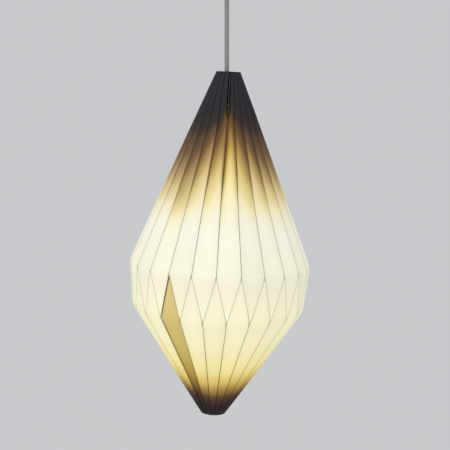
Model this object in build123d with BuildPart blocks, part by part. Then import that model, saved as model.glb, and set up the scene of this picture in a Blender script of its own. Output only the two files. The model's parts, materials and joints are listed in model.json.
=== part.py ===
from build123d import *
import os
from math import asin, atan, cos, degrees, radians, sin, sqrt, tan

# A pleated paper pendant light, hanging by its cord from a ceiling cup.
# Lengths are in millimetres. The origin is on the ceiling, in the middle of the bracket's two
# screw slots, with +Z up and the cord on the Z axis. The viewer stands on the -Y side.

# Overall layout
ceiling_to_pivot = 209.0  # ceiling to the point that the shade rocks about
shade_tilt = 2.61  # lean of the shade, its top towards +X
running_gap = 0.3  # between pieces that move on each other
seat_gap = 0.1  # between still pieces that only meet
thread_gap = 0.05  # between a thread or a clamped cord and its hole
edge_break = 1.0
screw_slot_width = 0.8
screw_slot_depth = 1.0

# Paper shade, with heights measured from the ring of upper waist points along the shade's axis
strip_count = 24
waist_radius = 120.0
lower_waist_radius = 114.1
waist_height = 57.7
cone_height = 252.6
top_radius = 15.5
tail_height = 147.5
bottom_radius = 16.4
paper_thickness = 0.4
fold_allowance = 0.6  # depth of the folds where the shade is widest
fold_gap = 0.3  # opening between the lips of a fold at the waist
end_fold_gap = 0.6  # the same at the ends of the shade
first_seam_angle = -61.76  # from the viewer's side, seen from above, towards +X
sheet_seam = 2  # the seam where the front sheet starts
slit_seam = 4  # the seam that stands open at the top
slit_gap = 2.8
slit_length = 52.6
end_hole_radius = 6.0  # free hole between the tips of the folds at both ends
tail_hole_radius = 5.8
top_to_pivot = 49.6  # top edge to the point that the shade rocks about

# Drawstrings
thread_radius = 0.35
thread_hole_radius = 0.6
thread_inset = 2.8  # from the seams inwards
top_thread_drop = 42.0  # below the top edge
bottom_thread_rise = 27.0  # above the bottom edge
knot_radius = 1.0
thread_tail = 10.0
end_knot_radius = 0.8
stitch_width = 6.0  # between the two ends of the bottom drawstring
overlap_start = 17.0  # of the second layer of paper, below the upper waist points

# Discs inside the shade
carrier_depth = 6.0
carrier_wall = 2.0
bottom_disc_thickness = 1.2
bottom_disc_rise = 30.0  # of its lower face above the bottom edge
bottom_disc_hole_radius = 4.0

# Cord and its stop
cord_radius = 3.0
cord_bore_radius = 3.3
neck_length = 9.0
stop_radius = 8.0
stop_height = 10.0
stop_screw_radius = 1.5

# Ceiling bracket, threaded tube and cup
bracket_length = 92.0
bracket_width = 20.0
bracket_thickness = 2.0
bracket_drop = 18.0
bracket_corner = 4.0
bridge_length = 46.0
slot_spacing = 70.0
slot_length = 14.0
slot_width = 4.5
tube_radius = 5.0
tube_bore_radius = 3.5
tube_above_bridge = 3.6
nut_width = 14.0
nut_height = 3.0
cup_radius = 50.0
cup_depth = 34.0
cup_wall = 1.2
cup_round = 14.0

# Cord grip under the cup
grip_radius = 8.0
grip_height = 24.0
grip_thread_depth = 10.0
grip_mouth_radius = 5.4
grip_mouth_depth = 3.2
grip_screw_radius = 2.0
grip_screw_rise = 9.0

# Terminal block on the bracket's bridge
block_length = 11.0
block_width = 22.0
block_height = 10.0
block_place = 14.5
wire_radius = 1.1
wire_hole_radius = 1.4
wire_spacing = 3.0
wire_bend = 2.4
terminal_spacing = 11.0
terminal_row_spacing = 5.6
terminal_screw_radius = 1.5
block_hole_rise = 7.0
block_screw_radius = 1.25
block_screw_head = 2.4
block_head_depth = 2.0

# Bulb
bulb_radius = 30.0
bulb_length = 108.0
bulb_centre_below_pivot = 183.0
bulb_wall = 1.2
bulb_joint_rise = 12.0  # of the edge of the diffuser above the middle of the globe
cap_radius = 13.0
cap_length = 27.0  # from the tip of the contact to the end of the screw cap
cap_wall = 0.5
cap_thread_pitch = 3.62
cap_thread_depth = 0.5
cap_thread_turns = 4
bulb_neck_radius = 14.5
bulb_waist_radius = 19.0
contact_radius = 4.5
contact_height = 1.4
insulator_radius = 11.0
insulator_height = 3.0
spreader_thickness = 2.0
board_radius = 22.0
board_thickness = 1.6
chip_count = 10
chip_size = 3.0
chip_height = 0.8
chip_ring_radius = 15.0

# Lampholder
holder_radius = 20.5
holder_wall = 1.8
holder_rim_gap = 2.0  # from the end of the screw cap up to the holder's rim
skirt_length = 42.0
skirt_lip = 2.0
skirt_lip_radius = 16.6
skirt_ledge = 1.6
holder_cap_length = 30.0
holder_cap_round = 10.0
holder_ring_length = 3.0
sleeve_radius = 14.1
sleeve_wall = 0.5
insert_wall = 1.6
insert_thickness = 11.0
insert_floor_gap = 3.0  # from the bulb's contact up to the insert
holder_grip_radius = 7.5
holder_grip_height = 16.0
holder_spigot_radius = 5.0
holder_spigot_length = 5.0
holder_screw_radius = 1.5
cord_end_drop = 2.0  # of the cord's cut end below the spigot
contact_strip_length = 16.0
contact_strip_width = 6.0
contact_strip_thickness = 0.5
contact_button_radius = 2.5
holder_terminal_spacing = 18.0
holder_terminal_radius = 3.0
holder_terminal_height = 4.0

# What follows from the sizes above
half_strip = 180 / strip_count
strip_angle = 2 * half_strip
widest_radius = max(waist_radius, lower_waist_radius)
strip_width = 2 * (widest_radius * sin(radians(half_strip)) + fold_allowance)
pivot_height = cone_height - top_to_pivot
shade_axis = (sin(radians(shade_tilt)), 0, cos(radians(shade_tilt)))
shade_across = (cos(radians(shade_tilt)), 0, -sin(radians(shade_tilt)))
shade_origin = Vector(0, 0, -ceiling_to_pivot) - Vector(*shade_axis) * pivot_height
shade_plane = Plane(origin=shade_origin, x_dir=shade_across, z_dir=shade_axis)
bottom_height = -waist_height - tail_height
slit_foot_height = cone_height - slit_length
slope_above = (waist_radius - top_radius) / cone_height
slope_below = (lower_waist_radius - bottom_radius) / tail_height


def seam_radius(height):
    """Radius of the seams at a height, above or below the waist."""
    if height >= 0:
        return waist_radius - slope_above * height
    return lower_waist_radius + slope_below * (height + waist_height)


def fold_depth(radius, hole_radius):
    """Depth of the inward folds where the seams have this radius, kept off the hole in the middle."""
    full = (strip_width - 2 * radius * sin(radians(half_strip))) / 2
    return min(full, radius - hole_radius - paper_thickness)


def seam_angle(seam):
    """Angle of an upper seam. The lower seams lie half a strip further on."""
    return first_seam_angle + strip_angle * seam


def shade_point(radius, across, angle):
    """Point in the shade's level plane, given along and across a seam's own direction."""
    turn = radians(angle)
    return (radius * sin(turn) + across * cos(turn), -radius * cos(turn) + across * sin(turn))


def fold_points(radius, depth, gap, angle):
    """Left lip, valley and right lip of a fold, then its four corners on the inside of the paper."""
    lean = tan(radians(half_strip))
    lip = gap / 2
    corner = lip + paper_thickness
    outside = [
        shade_point(radius - lip * lean, -lip, angle),
        shade_point(radius - depth, 0, angle),
        shade_point(radius - lip * lean, lip, angle),
    ]
    inner_radius = radius - paper_thickness - corner * lean
    tip_radius = radius - depth - paper_thickness
    inside = [
        shade_point(inner_radius, -corner, angle),
        shade_point(tip_radius, -paper_thickness, angle),
        shade_point(tip_radius, paper_thickness, angle),
        shade_point(inner_radius, corner, angle),
    ]
    return outside, inside


def middle_points(radius, angle):
    """Middle of a flat strip on the outside of the paper, then two points on the inside."""
    flat = radius * cos(radians(half_strip))
    side = paper_thickness / 4
    outside = shade_point(flat, 0, angle)
    inside = [
        shade_point(flat - paper_thickness, -side, angle),
        shade_point(flat - paper_thickness, side, angle),
    ]
    return outside, inside


def sheet_outline(height, first, count, gap, open_gap=None):
    """Outline of a sheet at one height, from its first seam over a number of strips.

    Above the waist the folds lie at the upper seams, and below it at the lower seams, half a
    strip further on. Both give the same number of points, so that the outlines loft together.
    """
    radius = seam_radius(height)
    hole = end_hole_radius if height >= 0 else tail_hole_radius
    depth = fold_depth(radius, hole)
    outside = []
    inside = []
    for seam in range(first, first + count):
        here = seam_angle(seam)
        if height >= 0:
            seam_gap = open_gap if open_gap and seam == slit_seam else gap
            fold_out, fold_in = fold_points(radius, depth, seam_gap, here)
            flat_out, flat_in = middle_points(radius, here + half_strip)
            outside += [*fold_out, flat_out]
            inside += [*fold_in, *flat_in]
        else:
            before_out, before_in = fold_points(radius, depth, gap, here - half_strip)
            after_out, after_in = fold_points(radius, depth, gap, here + half_strip)
            flat_out, flat_in = middle_points(radius, here)
            outside += [before_out[2], flat_out, after_out[0], after_out[1]]
            inside += [before_in[3], *flat_in, after_in[0], after_in[1], after_in[2]]
    end = seam_angle(first + count)
    if height >= 0:
        end_out, end_in = fold_points(radius, depth, gap, end)
        outside.append(end_out[0])
        inside.append(end_in[0])
    else:
        end_out, end_in = fold_points(radius, depth, gap, end - half_strip)
        outside.append(end_out[2])
        inside.append(end_in[3])
    return outside + inside[::-1]


def export_piece(piece, name):
    """Label a finished piece and write its STEP file."""
    piece.part.label = name
    export_step(piece.part, f"parts/{name}.step")


os.makedirs("parts", exist_ok=True)

# Paper shade: two sheets, each lofted through its outlines from the top edge to the bottom edge
half_count = strip_count // 2
back_seam = sheet_seam + half_count
top_thread_height = cone_height - top_thread_drop
bottom_thread_height = bottom_height + bottom_thread_rise
top_thread_ring = seam_radius(top_thread_height) - thread_inset
bottom_thread_ring = seam_radius(bottom_thread_height) - thread_inset
thread_rings = [(top_thread_height, top_thread_ring), (bottom_thread_height, bottom_thread_ring)]
stitch_side = degrees(asin(stitch_width / 2 / seam_radius(bottom_thread_height)))
stitch_seam = seam_angle(slit_seam) + half_strip
stitch_angles = [stitch_seam - stitch_side, stitch_seam + stitch_side]
sheet_levels = [
    (cone_height, end_fold_gap, slit_gap),
    (slit_foot_height, end_fold_gap, end_fold_gap),
    (0.0, fold_gap, fold_gap),
    (-waist_height, fold_gap, fold_gap),
    (bottom_thread_height, end_fold_gap, end_fold_gap),
    (bottom_height, end_fold_gap, end_fold_gap),
]
shade_turn_axis = Axis(shade_origin, shade_axis)


def along_shade(height):
    """Point on the shade's axis."""
    return shade_plane.from_local_coords((0, 0, height))


def section_plane(height):
    """Upright plane through the shade's axis, for profiles that are turned about it."""
    return Plane(origin=along_shade(height), x_dir=shade_across, z_dir=(0, -1, 0))


def radial_plane(height, angle):
    """Plane on the shade's axis that looks outwards at this angle."""
    outwards = shade_plane.from_local_coords((*shade_point(1, 0, angle), height)) - along_shade(height)
    return Plane(origin=along_shade(height), z_dir=outwards)


def make_sheet(name, first, stitched):
    """One pleated sheet of half the strips, with its thread holes."""
    with BuildPart() as sheet:
        for height, gap, open_gap in sheet_levels:
            with BuildSketch(shade_plane.offset(height)):
                with BuildLine():
                    Polyline(*sheet_outline(height, first, half_count, gap, open_gap), close=True)
                make_face()
        loft(ruled=True)
        for height, ring_radius in thread_rings:
            with BuildSketch(section_plane(height)):
                with Locations((ring_radius, 0)):
                    Circle(thread_hole_radius)
            revolve(axis=shade_turn_axis, mode=Mode.SUBTRACT)
        if stitched:
            for angle in stitch_angles:
                with BuildSketch(radial_plane(bottom_thread_height, angle).offset(bottom_thread_ring)):
                    Circle(thread_hole_radius)
                extrude(amount=2 * thread_inset, mode=Mode.SUBTRACT)
    export_piece(sheet, name)


make_sheet("shade_sheet_front", sheet_seam, True)
make_sheet("shade_sheet_back", back_seam, False)


# Glued overlaps: where the two sheets meet, one lower strip has a second layer of paper inside
def overlap_outline(height, angle):
    """Outline of an overlap at one height at or below the waist."""
    share = min(-height / waist_height, 1.0)
    radius = seam_radius(min(height, -waist_height))
    upper_valley = waist_radius - fold_depth(waist_radius, end_hole_radius)
    lower_flat = radius * cos(radians(half_strip))
    flat = upper_valley * (1 - share) + lower_flat * share
    outer = flat - paper_thickness - seat_gap
    side = radius * sin(radians(half_strip)) * share - end_fold_gap / 2 - 2 * paper_thickness
    return [
        shade_point(outer, -side, angle),
        shade_point(outer, side, angle),
        shade_point(outer - paper_thickness, side, angle),
        shade_point(outer - paper_thickness, -side, angle),
    ]


def make_overlap(name, seam):
    """Second layer of paper inside one lower strip."""
    with BuildPart() as overlap:
        for height in (-overlap_start, -waist_height, bottom_thread_height, bottom_height):
            with BuildSketch(shade_plane.offset(height)):
                with BuildLine():
                    Polyline(*overlap_outline(height, seam_angle(seam)), close=True)
                make_face()
        loft(ruled=True)
    export_piece(overlap, name)


make_overlap("overlap_front", sheet_seam)
make_overlap("overlap_back", back_seam)

# Top drawstring: a ring through the folds, led out of the open seam to a knot and a tail
knot_place = seam_radius(top_thread_height) + knot_radius
knot_plane = radial_plane(top_thread_height, seam_angle(slit_seam))
tail_plane = Plane(
    origin=knot_plane.offset(knot_place).origin,
    z_dir=knot_plane.z_dir * slope_above - Vector(*shade_axis),
)

with BuildPart() as top_drawstring:
    with BuildSketch(section_plane(top_thread_height)):
        with Locations((top_thread_ring, 0)):
            Circle(thread_radius)
    revolve(axis=shade_turn_axis)
    with BuildSketch(knot_plane.offset(top_thread_ring)):
        Circle(thread_radius)
    extrude(amount=knot_place - top_thread_ring)
    with Locations(knot_plane.offset(knot_place)):
        Sphere(knot_radius)
    with BuildSketch(tail_plane):
        Circle(thread_radius)
    extrude(amount=knot_radius + thread_tail)
export_piece(top_drawstring, "top_drawstring")

# Bottom drawstring: a ring through the folds, its two ends led out to a knot each
end_knot_place = seam_radius(bottom_thread_height) + end_knot_radius

with BuildPart() as bottom_drawstring:
    with BuildSketch(section_plane(bottom_thread_height)):
        with Locations((bottom_thread_ring, 0)):
            Circle(thread_radius)
    revolve(axis=shade_turn_axis)
    for angle in stitch_angles:
        end_plane = radial_plane(bottom_thread_height, angle)
        with BuildSketch(end_plane.offset(bottom_thread_ring)):
            Circle(thread_radius)
        extrude(amount=end_knot_place - bottom_thread_ring)
        with Locations(end_plane.offset(end_knot_place)):
            Sphere(end_knot_radius)
export_piece(bottom_drawstring, "bottom_drawstring")


# Domed carrier: a round of a ball centred on the pivot, so that the folds can rock and turn on it
def tip_radius_at(height, hole_radius):
    """Radius of the folds' inner edges at a height where the folds have their full depth."""
    radius = seam_radius(height)
    return radius - fold_depth(radius, hole_radius) - paper_thickness


tip_at_slit_foot = tip_radius_at(slit_foot_height, end_hole_radius)
tip_slope = (tip_at_slit_foot - end_hole_radius) / slit_length
tip_lean = atan(tip_slope)
tip_at_pivot = tip_at_slit_foot - tip_slope * (pivot_height - slit_foot_height)
carrier_ball = tip_at_pivot * cos(tip_lean) - running_gap
carrier_middle = carrier_ball * sin(tip_lean)
carrier_top = carrier_middle + carrier_depth / 2
carrier_foot = carrier_middle - carrier_depth / 2


def ball_radius(height):
    """Radius of the carrier's ball at a height above the pivot."""
    return sqrt(carrier_ball**2 - height**2)


pivot_plane = Plane(origin=(0, 0, -ceiling_to_pivot), x_dir=(1, 0, 0), z_dir=(0, -1, 0))
carrier_web = carrier_top - carrier_wall

with BuildPart() as carrier_dome:
    with BuildSketch(pivot_plane):
        with BuildLine():
            Line((cord_bore_radius, carrier_top), (ball_radius(carrier_top), carrier_top))
            ThreePointArc(
                (ball_radius(carrier_top), carrier_top),
                (ball_radius(carrier_middle), carrier_middle),
                (ball_radius(carrier_foot), carrier_foot),
            )
            Polyline(
                (ball_radius(carrier_foot), carrier_foot),
                (ball_radius(carrier_foot) - carrier_wall, carrier_foot),
                (ball_radius(carrier_web) - carrier_wall, carrier_web),
                (stop_radius, carrier_web),
                (stop_radius, carrier_foot),
                (cord_bore_radius, carrier_foot),
                (cord_bore_radius, carrier_top),
            )
        make_face()
    revolve(axis=Axis.Z)
export_piece(carrier_dome, "carrier_dome")

# Stop collar under the carrier, with its set screw
stop_top = -ceiling_to_pivot + carrier_foot - running_gap
stop_middle = stop_top - stop_height / 2
side_plane = Plane.YZ

with BuildPart() as stop_collar:
    with BuildSketch(Plane.XY.offset(stop_top)):
        Circle(stop_radius)
        Circle(cord_radius + thread_gap, mode=Mode.SUBTRACT)
    extrude(amount=-stop_height)
    chamfer(stop_collar.edges().group_by(Axis.Z)[0].sort_by(SortBy.RADIUS)[-1], edge_break)
    with BuildSketch(side_plane):
        with Locations((0, stop_middle)):
            Circle(stop_screw_radius)
    extrude(amount=stop_radius, mode=Mode.SUBTRACT)
export_piece(stop_collar, "stop_collar")


def make_set_screw(name, radius, outer, middle):
    """Set screw that points at the cord, with a slot in its outer end."""
    with BuildPart() as screw:
        with BuildSketch(side_plane.offset(cord_radius + thread_gap)):
            with Locations((0, middle)):
                Circle(radius - thread_gap)
        extrude(amount=outer - cord_radius - thread_gap)
        with BuildSketch(side_plane.offset(outer)):
            with Locations((0, middle)):
                Rectangle(2 * radius, screw_slot_width)
        extrude(amount=-screw_slot_depth, mode=Mode.SUBTRACT)
    export_piece(screw, name)


make_set_screw("stop_screw", stop_screw_radius, stop_radius, stop_middle)

# Disc that lies on the folds near the bottom of the shade
disc_height = bottom_height + bottom_disc_rise

with BuildPart() as bottom_disc:
    with BuildSketch(shade_plane.offset(disc_height)):
        Circle(tip_radius_at(disc_height, tail_hole_radius) - seat_gap)
        Circle(bottom_disc_hole_radius, mode=Mode.SUBTRACT)
    extrude(amount=bottom_disc_thickness)
export_piece(bottom_disc, "bottom_disc")

# Ceiling bracket: a strip with a raised bridge, two screw slots and the hole for the threaded tube
bridge_foot = -bracket_drop
bridge_top = bridge_foot + bracket_thickness
mid_sheet = bracket_thickness / 2
bridge_side = bridge_length / 2 - mid_sheet

with BuildPart() as ceiling_bracket:
    with BuildSketch(Plane.XZ):
        with BuildLine():
            FilletPolyline(
                (-bracket_length / 2, -mid_sheet),
                (-bridge_side, -mid_sheet),
                (-bridge_side, bridge_foot + mid_sheet),
                (bridge_side, bridge_foot + mid_sheet),
                (bridge_side, -mid_sheet),
                (bracket_length / 2, -mid_sheet),
                radius=bracket_thickness,
            )
        trace(line_width=bracket_thickness)
    extrude(amount=bracket_width / 2, both=True)
    with BuildSketch(Plane.XY):
        with GridLocations(slot_spacing, 0, 2, 1):
            SlotOverall(slot_length, slot_width)
    extrude(amount=-bracket_thickness, mode=Mode.SUBTRACT)
    with BuildSketch(Plane.XY.offset(bridge_top)):
        Circle(tube_radius + thread_gap)
        with Locations((block_place, 0)):
            Circle(block_screw_radius)
    extrude(amount=-bracket_thickness, mode=Mode.SUBTRACT)
    fillet(ceiling_bracket.edges().filter_by(Axis.Z).group_by(Axis.X)[0], bracket_corner)
    fillet(ceiling_bracket.edges().filter_by(Axis.Z).group_by(Axis.X)[-1], bracket_corner)
export_piece(ceiling_bracket, "ceiling_bracket")

# Threaded tube with its locknut
tube_top = bridge_top + tube_above_bridge
tube_foot = -cup_depth - grip_thread_depth + seat_gap

with BuildPart() as threaded_tube:
    with BuildSketch(Plane.XY.offset(tube_foot)):
        Circle(tube_radius)
        Circle(tube_bore_radius, mode=Mode.SUBTRACT)
    extrude(amount=tube_top - tube_foot)
export_piece(threaded_tube, "threaded_tube")

with BuildPart() as tube_nut:
    with BuildSketch(Plane.XY.offset(bridge_top)):
        RegularPolygon(nut_width / 2, 6, major_radius=False, rotation=30)
        Circle(tube_radius + thread_gap, mode=Mode.SUBTRACT)
    extrude(amount=nut_height)
export_piece(tube_nut, "tube_nut")

# Ceiling cup
with BuildPart() as ceiling_cup:
    with BuildSketch(Plane.XY):
        Circle(cup_radius)
    extrude(amount=-cup_depth)
    fillet(ceiling_cup.edges().group_by(Axis.Z)[0], cup_round)
    offset(amount=-cup_wall, openings=ceiling_cup.faces().sort_by(Axis.Z)[-1])
    with BuildSketch(Plane.XY.offset(-cup_depth)):
        Circle(tube_radius + thread_gap)
    extrude(amount=cup_depth, mode=Mode.SUBTRACT)
export_piece(ceiling_cup, "ceiling_cup")

# Cord grip under the cup, with its screw. The cord bends at the grip's mouth.
grip_top = -cup_depth
grip_foot = grip_top - grip_height
bend_height = grip_foot + grip_mouth_depth
grip_screw_height = grip_foot + grip_screw_rise
mouth_throat = cord_bore_radius + seat_gap

with BuildPart() as cord_grip:
    with BuildSketch(Plane.XZ):
        with BuildLine():
            Polyline(
                (tube_radius + thread_gap, grip_top),
                (grip_radius, grip_top),
                (grip_radius, grip_foot + edge_break),
                (grip_radius - edge_break, grip_foot),
                (grip_mouth_radius, grip_foot),
                (mouth_throat, bend_height),
                (cord_bore_radius, bend_height),
                (cord_bore_radius, grip_top - grip_thread_depth),
                (tube_radius + thread_gap, grip_top - grip_thread_depth),
                close=True,
            )
        make_face()
    revolve(axis=Axis.Z)
    with BuildSketch(side_plane):
        with Locations((0, grip_screw_height)):
            Circle(grip_screw_radius)
    extrude(amount=grip_radius, mode=Mode.SUBTRACT)
export_piece(cord_grip, "cord_grip")
make_set_screw("grip_screw", grip_screw_radius, grip_radius, grip_screw_height)

# Cord: the stretch held in the grip and the tube, the short stretch that bends, and the hanging one
with BuildPart() as cord_head:
    with BuildSketch(Plane.XY.offset(bend_height + cord_bore_radius)):
        Circle(cord_radius)
    extrude(amount=tube_top - bend_height - cord_bore_radius)
export_piece(cord_head, "cord_head")

second_bend_height = bend_height - neck_length
hollow_rim = sqrt(cord_bore_radius**2 - cord_radius**2)
half_root = sqrt(0.5)


with BuildPart() as cord_neck:
    with BuildSketch(Plane.XZ):
        with BuildLine():
            ThreePointArc(
                (0, bend_height + cord_radius),
                (cord_radius * half_root, bend_height + cord_radius * half_root),
                (cord_radius, bend_height),
            )
            Line((cord_radius, bend_height), (cord_radius, second_bend_height + hollow_rim))
            RadiusArc(
                (cord_radius, second_bend_height + hollow_rim),
                (0, second_bend_height + cord_bore_radius),
                -cord_bore_radius,
            )
            Line((0, second_bend_height + cord_bore_radius), (0, bend_height + cord_radius))
        make_face()
    revolve(axis=Axis.Z)
export_piece(cord_neck, "cord_neck")

# Bulb, from the globe's middle upwards
globe_middle = -ceiling_to_pivot - bulb_centre_below_pivot
contact_tip = globe_middle - bulb_radius + bulb_length
contact_foot = contact_tip - contact_height
insulator_foot = contact_foot - insulator_height
cap_foot = contact_tip - cap_length
joint_height = globe_middle + bulb_joint_rise
joint_radius = sqrt(bulb_radius**2 - bulb_joint_rise**2)
inner_globe = bulb_radius - bulb_wall
inner_joint_radius = sqrt(inner_globe**2 - bulb_joint_rise**2)

with BuildPart() as bulb_contact:
    with BuildSketch(Plane.XY.offset(contact_foot)):
        Circle(contact_radius)
    extrude(amount=contact_height)
    fillet(bulb_contact.edges().sort_by(Axis.Z)[-1], contact_height / 2)
export_piece(bulb_contact, "bulb_contact")

with BuildPart() as bulb_insulator:
    with BuildSketch(Plane.XZ):
        with BuildLine():
            Polyline(
                (0, contact_foot),
                (contact_radius + edge_break, contact_foot),
                (insulator_radius, insulator_foot),
                (0, insulator_foot),
                close=True,
            )
        make_face()
    revolve(axis=Axis.Z)
export_piece(bulb_insulator, "bulb_insulator")

thread_top = insulator_foot - cap_thread_pitch

with BuildPart() as bulb_cap:
    with BuildSketch(Plane.XY.offset(cap_foot)):
        Circle(cap_radius)
    extrude(amount=insulator_foot - cap_foot)
    for turn in range(cap_thread_turns):
        with BuildSketch(Plane.XZ):
            with Locations((cap_radius, thread_top - turn * cap_thread_pitch)):
                Circle(cap_thread_depth)
        revolve(axis=Axis.Z)
    with BuildSketch(Plane.XY.offset(cap_foot)):
        Circle(cap_radius - cap_wall)
    extrude(amount=insulator_foot - cap_foot - cap_wall, mode=Mode.SUBTRACT)
export_piece(bulb_cap, "bulb_cap")

with BuildPart() as bulb_housing:
    with BuildSketch(Plane.XZ):
        with BuildLine():
            ThreePointArc(
                (bulb_neck_radius, cap_foot),
                (bulb_waist_radius, (cap_foot + joint_height) / 2),
                (joint_radius, joint_height),
            )
            Polyline(
                (joint_radius, joint_height),
                (0, joint_height),
                (0, joint_height + spreader_thickness),
                (inner_joint_radius - bulb_wall, joint_height + spreader_thickness),
            )
            ThreePointArc(
                (inner_joint_radius - bulb_wall, joint_height + spreader_thickness),
                (bulb_waist_radius - bulb_wall, (cap_foot + joint_height) / 2),
                (bulb_neck_radius - bulb_wall, cap_foot),
            )
            Line((bulb_neck_radius - bulb_wall, cap_foot), (bulb_neck_radius, cap_foot))
        make_face()
    revolve(axis=Axis.Z)
export_piece(bulb_housing, "bulb_housing")

with BuildPart() as led_board:
    with BuildSketch(Plane.XY.offset(joint_height)):
        Circle(board_radius)
    extrude(amount=-board_thickness)
export_piece(led_board, "led_board")

with BuildPart() as led_chips:
    with BuildSketch(Plane.XY.offset(joint_height - board_thickness)):
        with PolarLocations(chip_ring_radius, chip_count):
            Rectangle(chip_size, chip_size)
    extrude(amount=-chip_height)
export_piece(led_chips, "led_chips")

with BuildPart() as bulb_diffuser:
    with BuildSketch(Plane.XZ):
        with BuildLine():
            ThreePointArc(
                (joint_radius, joint_height),
                (bulb_radius, globe_middle),
                (0, globe_middle - bulb_radius),
            )
            Line((0, globe_middle - bulb_radius), (0, globe_middle - inner_globe))
            ThreePointArc(
                (0, globe_middle - inner_globe),
                (inner_globe, globe_middle),
                (inner_joint_radius, joint_height),
            )
            Line((inner_joint_radius, joint_height), (joint_radius, joint_height))
        make_face()
    revolve(axis=Axis.Z)
export_piece(bulb_diffuser, "bulb_diffuser")

# Lampholder: skirt, insert with its thread sleeve and contacts, cap and cord grip
holder_rim = cap_foot + holder_rim_gap
skirt_top = holder_rim + skirt_length
insert_foot = contact_tip + insert_floor_gap
insert_top = insert_foot + insert_thickness
holder_top = skirt_top + holder_cap_length
bore_in_skirt = holder_radius - holder_wall
insert_radius = bore_in_skirt - seat_gap
sleeve_foot = holder_rim + skirt_lip + seat_gap
collar_radius = sleeve_radius + sleeve_wall + thread_gap

with BuildPart() as holder_skirt:
    with BuildSketch(Plane.XZ):
        with BuildLine():
            Polyline(
                (skirt_lip_radius, holder_rim),
                (holder_radius - edge_break, holder_rim),
                (holder_radius, holder_rim + edge_break),
                (holder_radius, skirt_top),
                (bore_in_skirt, skirt_top),
                (bore_in_skirt, insert_foot),
                (bore_in_skirt - skirt_ledge, insert_foot),
                (bore_in_skirt - skirt_ledge, insert_foot - skirt_ledge),
                (bore_in_skirt, insert_foot - 2 * skirt_ledge),
                (bore_in_skirt, holder_rim + skirt_lip),
                (skirt_lip_radius, holder_rim + skirt_lip),
                close=True,
            )
        make_face()
    revolve(axis=Axis.Z)
export_piece(holder_skirt, "holder_skirt")

with BuildPart() as holder_insert:
    with BuildSketch(Plane.XY.offset(insert_foot)):
        Circle(insert_radius)
    extrude(amount=insert_thickness)
    with BuildSketch(Plane.XY.offset(sleeve_foot)):
        Circle(collar_radius + insert_wall - seat_gap)
        Circle(collar_radius, mode=Mode.SUBTRACT)
    extrude(amount=insert_foot - sleeve_foot)
export_piece(holder_insert, "holder_insert")

with BuildPart() as thread_sleeve:
    with BuildSketch(Plane.XY.offset(sleeve_foot)):
        Circle(sleeve_radius + sleeve_wall)
        Circle(sleeve_radius, mode=Mode.SUBTRACT)
    extrude(amount=insert_foot - sleeve_foot)
export_piece(thread_sleeve, "thread_sleeve")

with BuildPart() as centre_contact:
    with BuildSketch(Plane.XY.offset(insert_foot)):
        Rectangle(contact_strip_length, contact_strip_width)
    extrude(amount=-contact_strip_thickness)
    with BuildSketch(Plane.XY.offset(insert_foot - contact_strip_thickness)):
        Circle(contact_button_radius)
    extrude(amount=-(insert_floor_gap - contact_strip_thickness - running_gap))
export_piece(centre_contact, "centre_contact")

with BuildPart() as holder_terminals:
    for side in (-1, 1):
        with BuildSketch(Plane.XY.offset(insert_top)):
            with Locations((side * holder_terminal_spacing / 2, 0)):
                Circle(holder_terminal_radius)
        extrude(amount=holder_terminal_height)
export_piece(holder_terminals, "holder_terminals")

with BuildPart() as holder_cap:
    with BuildSketch(Plane.XY.offset(skirt_top)):
        Circle(holder_radius)
    extrude(amount=holder_cap_length)
    fillet(holder_cap.edges().sort_by(Axis.Z)[-1], holder_cap_round)
    offset(amount=-holder_wall, openings=holder_cap.faces().sort_by(Axis.Z)[0])
    with BuildSketch(Plane.XY.offset(insert_top)):
        Circle(insert_radius)
        Circle(insert_radius - holder_wall, mode=Mode.SUBTRACT)
    extrude(amount=skirt_top - insert_top)
    with BuildSketch(Plane.XY.offset(skirt_top)):
        Circle(holder_radius)
        Circle(insert_radius - holder_wall, mode=Mode.SUBTRACT)
    extrude(amount=holder_ring_length)
    with BuildSketch(Plane.XY.offset(holder_top)):
        Circle(holder_spigot_radius + thread_gap)
    extrude(amount=-holder_wall, mode=Mode.SUBTRACT)
export_piece(holder_cap, "holder_cap")

holder_grip_top = holder_top + holder_grip_height
holder_screw_height = holder_top + holder_grip_height / 2
spigot_foot = holder_top - holder_spigot_length

with BuildPart() as holder_grip:
    with BuildSketch(Plane.XZ):
        with BuildLine():
            Polyline(
                (cord_radius + thread_gap, spigot_foot),
                (holder_spigot_radius, spigot_foot),
                (holder_spigot_radius, holder_top),
                (holder_grip_radius, holder_top),
                (holder_grip_radius, holder_grip_top - edge_break),
                (holder_grip_radius - edge_break, holder_grip_top),
                (cord_radius + thread_gap, holder_grip_top),
                close=True,
            )
        make_face()
    revolve(axis=Axis.Z)
    with BuildSketch(side_plane):
        with Locations((0, holder_screw_height)):
            Circle(holder_screw_radius)
    extrude(amount=holder_grip_radius, mode=Mode.SUBTRACT)
export_piece(holder_grip, "holder_grip")
make_set_screw("holder_grip_screw", holder_screw_radius, holder_grip_radius, holder_screw_height)

# Hanging cord, straight under the weight of the lamp, from the bend to its end in the holder's cap
cord_end = spigot_foot - cord_end_drop

with BuildPart() as cord:
    with BuildSketch(Plane.XZ):
        with BuildLine():
            ThreePointArc(
                (0, second_bend_height + cord_radius),
                (cord_radius * half_root, second_bend_height + cord_radius * half_root),
                (cord_radius, second_bend_height),
            )
            Polyline(
                (cord_radius, second_bend_height),
                (cord_radius, cord_end),
                (0, cord_end),
                (0, second_bend_height + cord_radius),
            )
        make_face()
    revolve(axis=Axis.Z)
export_piece(cord, "cord")
print("hanging cord, from the grip's mouth to its end", round(grip_foot - cord_end, 1), "mm")

# Wires: a pair inside the holder's cap, and one of each colour to the terminal block
terminal_top = insert_top + holder_terminal_height


def wire_section(start):
    """Level plane at the start of a wire."""
    return Plane(origin=start, z_dir=(0, 0, 1))


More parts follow.
